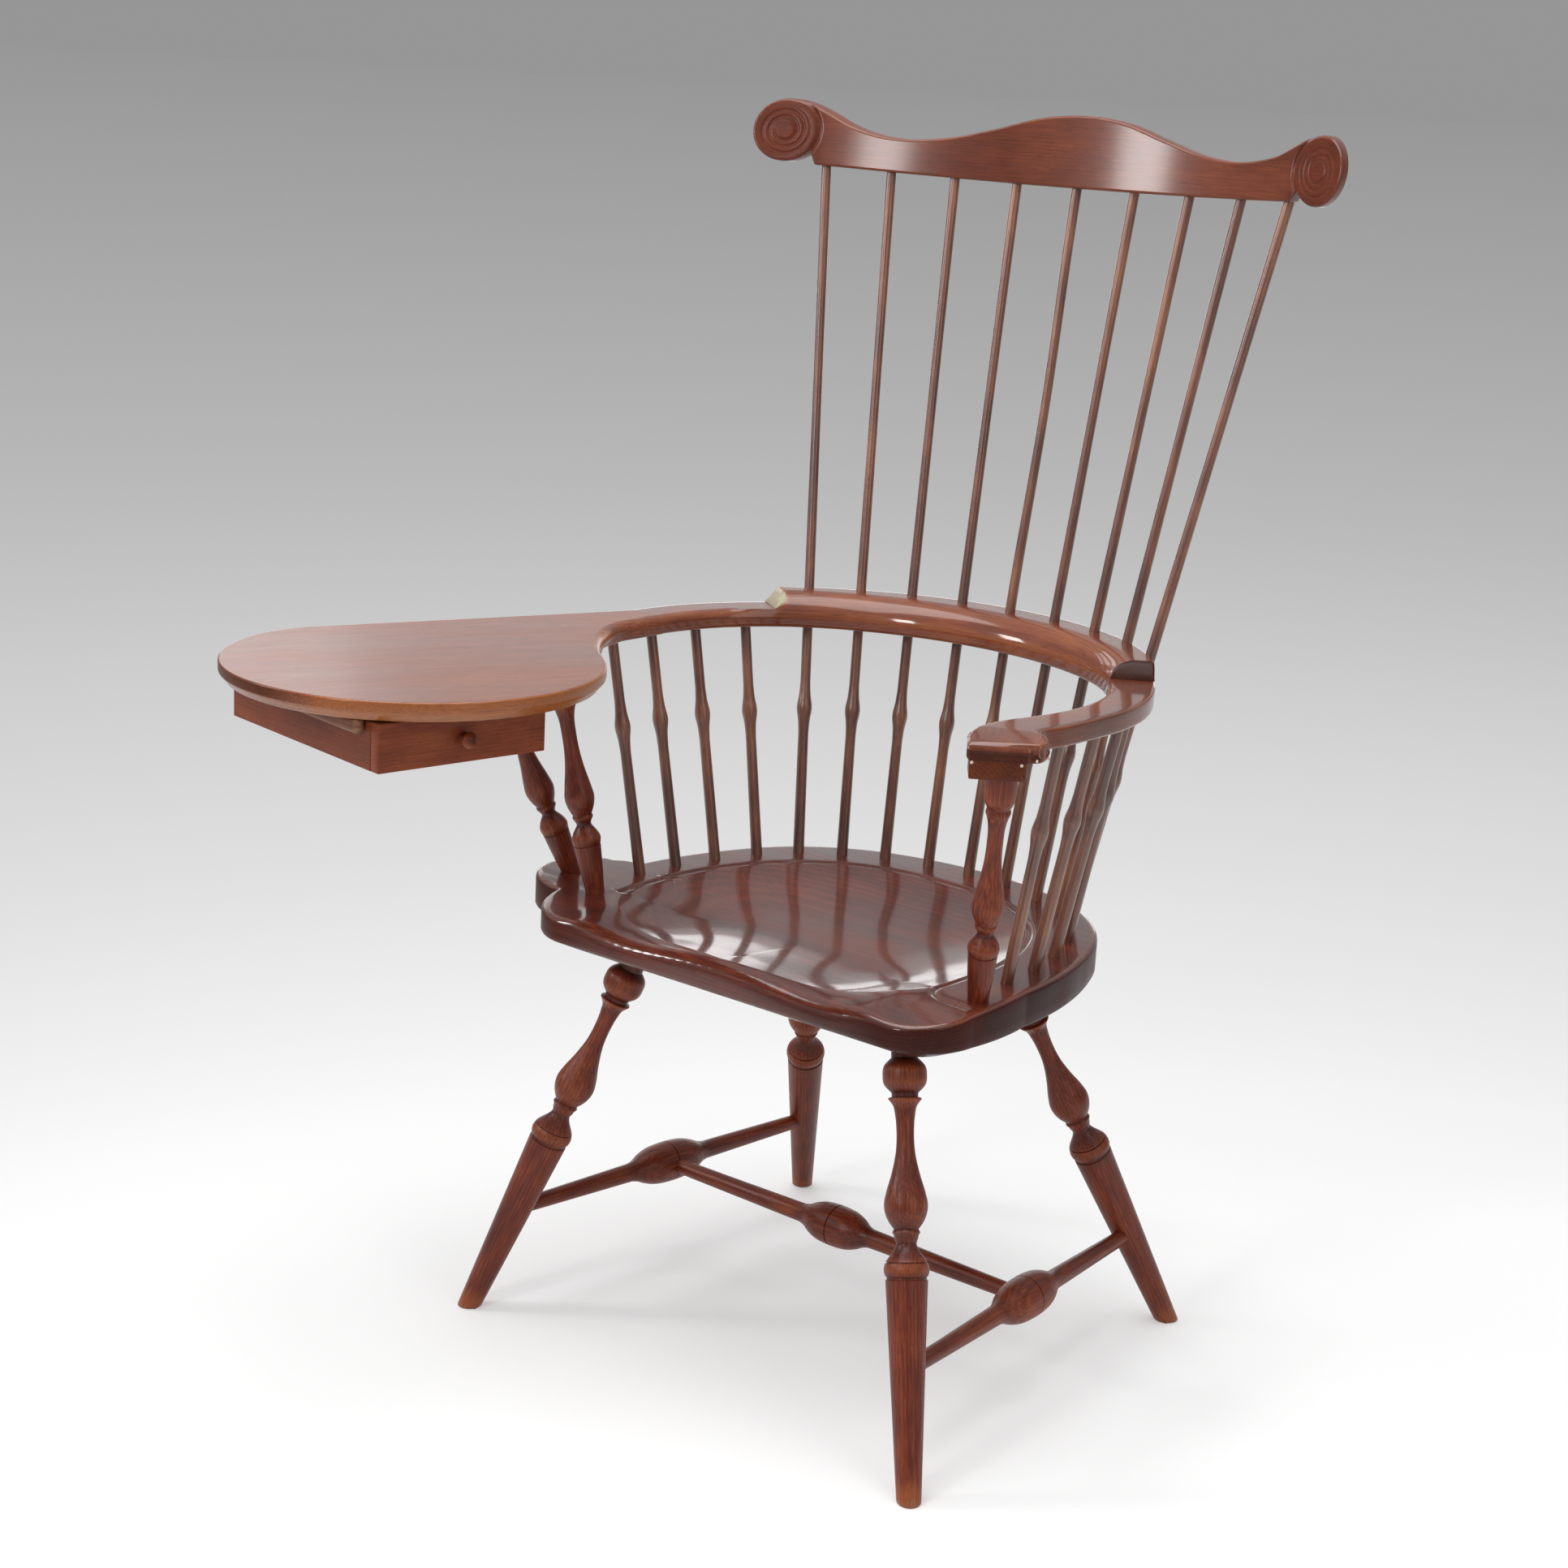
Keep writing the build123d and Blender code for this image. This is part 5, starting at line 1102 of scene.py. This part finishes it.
def makeFloor():
    mesh = bpy.data.meshes.new("Floor")
    bm = bmesh.new()
    bmesh.ops.create_circle(bm, cap_ends=True, segments=96, radius=studio["floorRadius"])
    bm.to_mesh(mesh)
    bm.free()
    floor = bpy.data.objects.new("Floor", mesh)
    bpy.context.scene.collection.objects.link(floor)
    material = bpy.data.materials.new("paperSweep")     # matt paper: no grain, no gloss
    tree = emptyTree(material)
    where = addNode(tree, "TexCoord").outputs["Object"]
    offset = addNode(tree, "VectorMath", {0: where, 1: studio["brightSpot"]}, operation="SUBTRACT")
    far = addNode(tree, "VectorMath", {0: offset}, operation="LENGTH").outputs["Value"]
    near = addNode(tree, "Math", {0: 1.0, 1: far}, operation="DIVIDE")
    # the tones are a painted pool of light round the bright spot, white near it and grey far off
    shade = addNode(tree, "ValToRGB", {0: near}, studio["tones"])
    paper = addNode(tree, "BsdfDiffuse", {"Color": linear(studio["paper"])})
    # near the chair the paper shows its shadows, far off it melts into the backdrop
    lift = addNode(tree, "Emission", {"Strength": 1.0, "Color": shade})
    tinted = addNode(tree, "BsdfDiffuse", {"Color": shade})
    melt = addNode(tree, "MapRange", {0: near, 1: 0.3, 2: 0.75, 3: 1.0, 4: studio["ownTone"]})
    mixed = addNode(tree, "MixShader", {0: melt, 1: tinted, 2: lift})
    shown = addNode(tree, "MixShader", {0: seenRays(tree), 1: paper, 2: mixed})
    addNode(tree, "OutputMaterial", {"Surface": shown})
    mesh.materials.append(material)


def makeWorld():
    world = bpy.data.worlds.new("studio")
    bpy.context.scene.world = world
    tree = emptyTree(world)
    split = addNode(tree, "SeparateXYZ", {0: addNode(tree, "TexCoord").outputs["Generated"]}).outputs[2]
    sky = addNode(tree, "ValToRGB", {0: split}, studio["sky"])
    shown = addNode(tree, "Background", {"Strength": 1.0, 0: sky})
    fill = addNode(tree, "Background", {"Color": (1, 1, 1, 1), "Strength": studio["fill"]})
    mixed = addNode(tree, "MixShader", {0: seenRays(tree), 1: fill, 2: shown})
    addNode(tree, "OutputWorld", {"Surface": mixed})


# place and target in metres, size in metres, power in watts
lamps = {"Overhead": ((-0.1, -0.2, 2.9), (0.1, 0.1, 0.4), (2.2, 2.2), 60.0),
         "BackPanel": ((-5.6, 6.6, 2.35), (0.0, 0.0, 0.7), (6.0, 0.95), 6.5),
         "BackLeft": ((-7.6, 4.3, 3.9), (-0.2, -0.2, 0.7), (3.1, 2.4), 35.0),
         "LowSweep": ((-3.9, 4.8, 0.75), (0.0, 0.0, 0.5), (5.0, 1.3), 37.0),
         "FrontLeft": ((-2.2, -1.7, 1.82), (0.0, 0.1, 0.9), (0.5, 0.72), 23.0),
         "Front": ((-0.1, -3.2, 2.0), (0.0, 0.1, 0.8), (0.46, 0.7), 23.0),
         "RightSide": ((3.0, -0.6, 1.8), (0.0, 0.1, 0.8), (1.5, 2.2), 14.0)}


def makeLamps():
    for name, (place, target, size, power) in lamps.items():
        lamp = bpy.data.lights.new(name, "AREA")
        lamp.shape = "RECTANGLE"
        lamp.size, lamp.size_y = size
        lamp.energy = power
        holder = bpy.data.objects.new(name, lamp)
        bpy.context.scene.collection.objects.link(holder)
        holder.location = place
        holder.visible_camera = False
        holder.rotation_euler = (Vector(target) - Vector(place)).to_track_quat("-Z", "Y").to_euler()


eye = {"place": (1.59112, -1.93741, 1.23276), "right": (0.768838, 0.637430, 0.050706),
       "up": (-0.198709, 0.162796, 0.966443), "ahead": (-0.607785, 0.753114, -0.251827),
       "lens": 62.71, "sensor": 36.0, "clipEnd": 300.0}


def makeCamera():
    camera = bpy.data.cameras.new("Camera")
    camera.lens, camera.sensor_width, camera.sensor_fit = eye["lens"], eye["sensor"], "HORIZONTAL"
    camera.clip_end = eye["clipEnd"]
    holder = bpy.data.objects.new("Camera", camera)
    bpy.context.scene.collection.objects.link(holder)
    turn = Matrix((eye["right"], eye["up"], [-v for v in eye["ahead"]])).transposed().to_4x4()
    holder.matrix_world = Matrix.Translation(eye["place"]) @ turn
    bpy.context.scene.camera = holder


makeFloor()
makeWorld()
makeLamps()
makeCamera()
bpy.context.scene.view_settings.view_transform = "Standard"
print("studio")
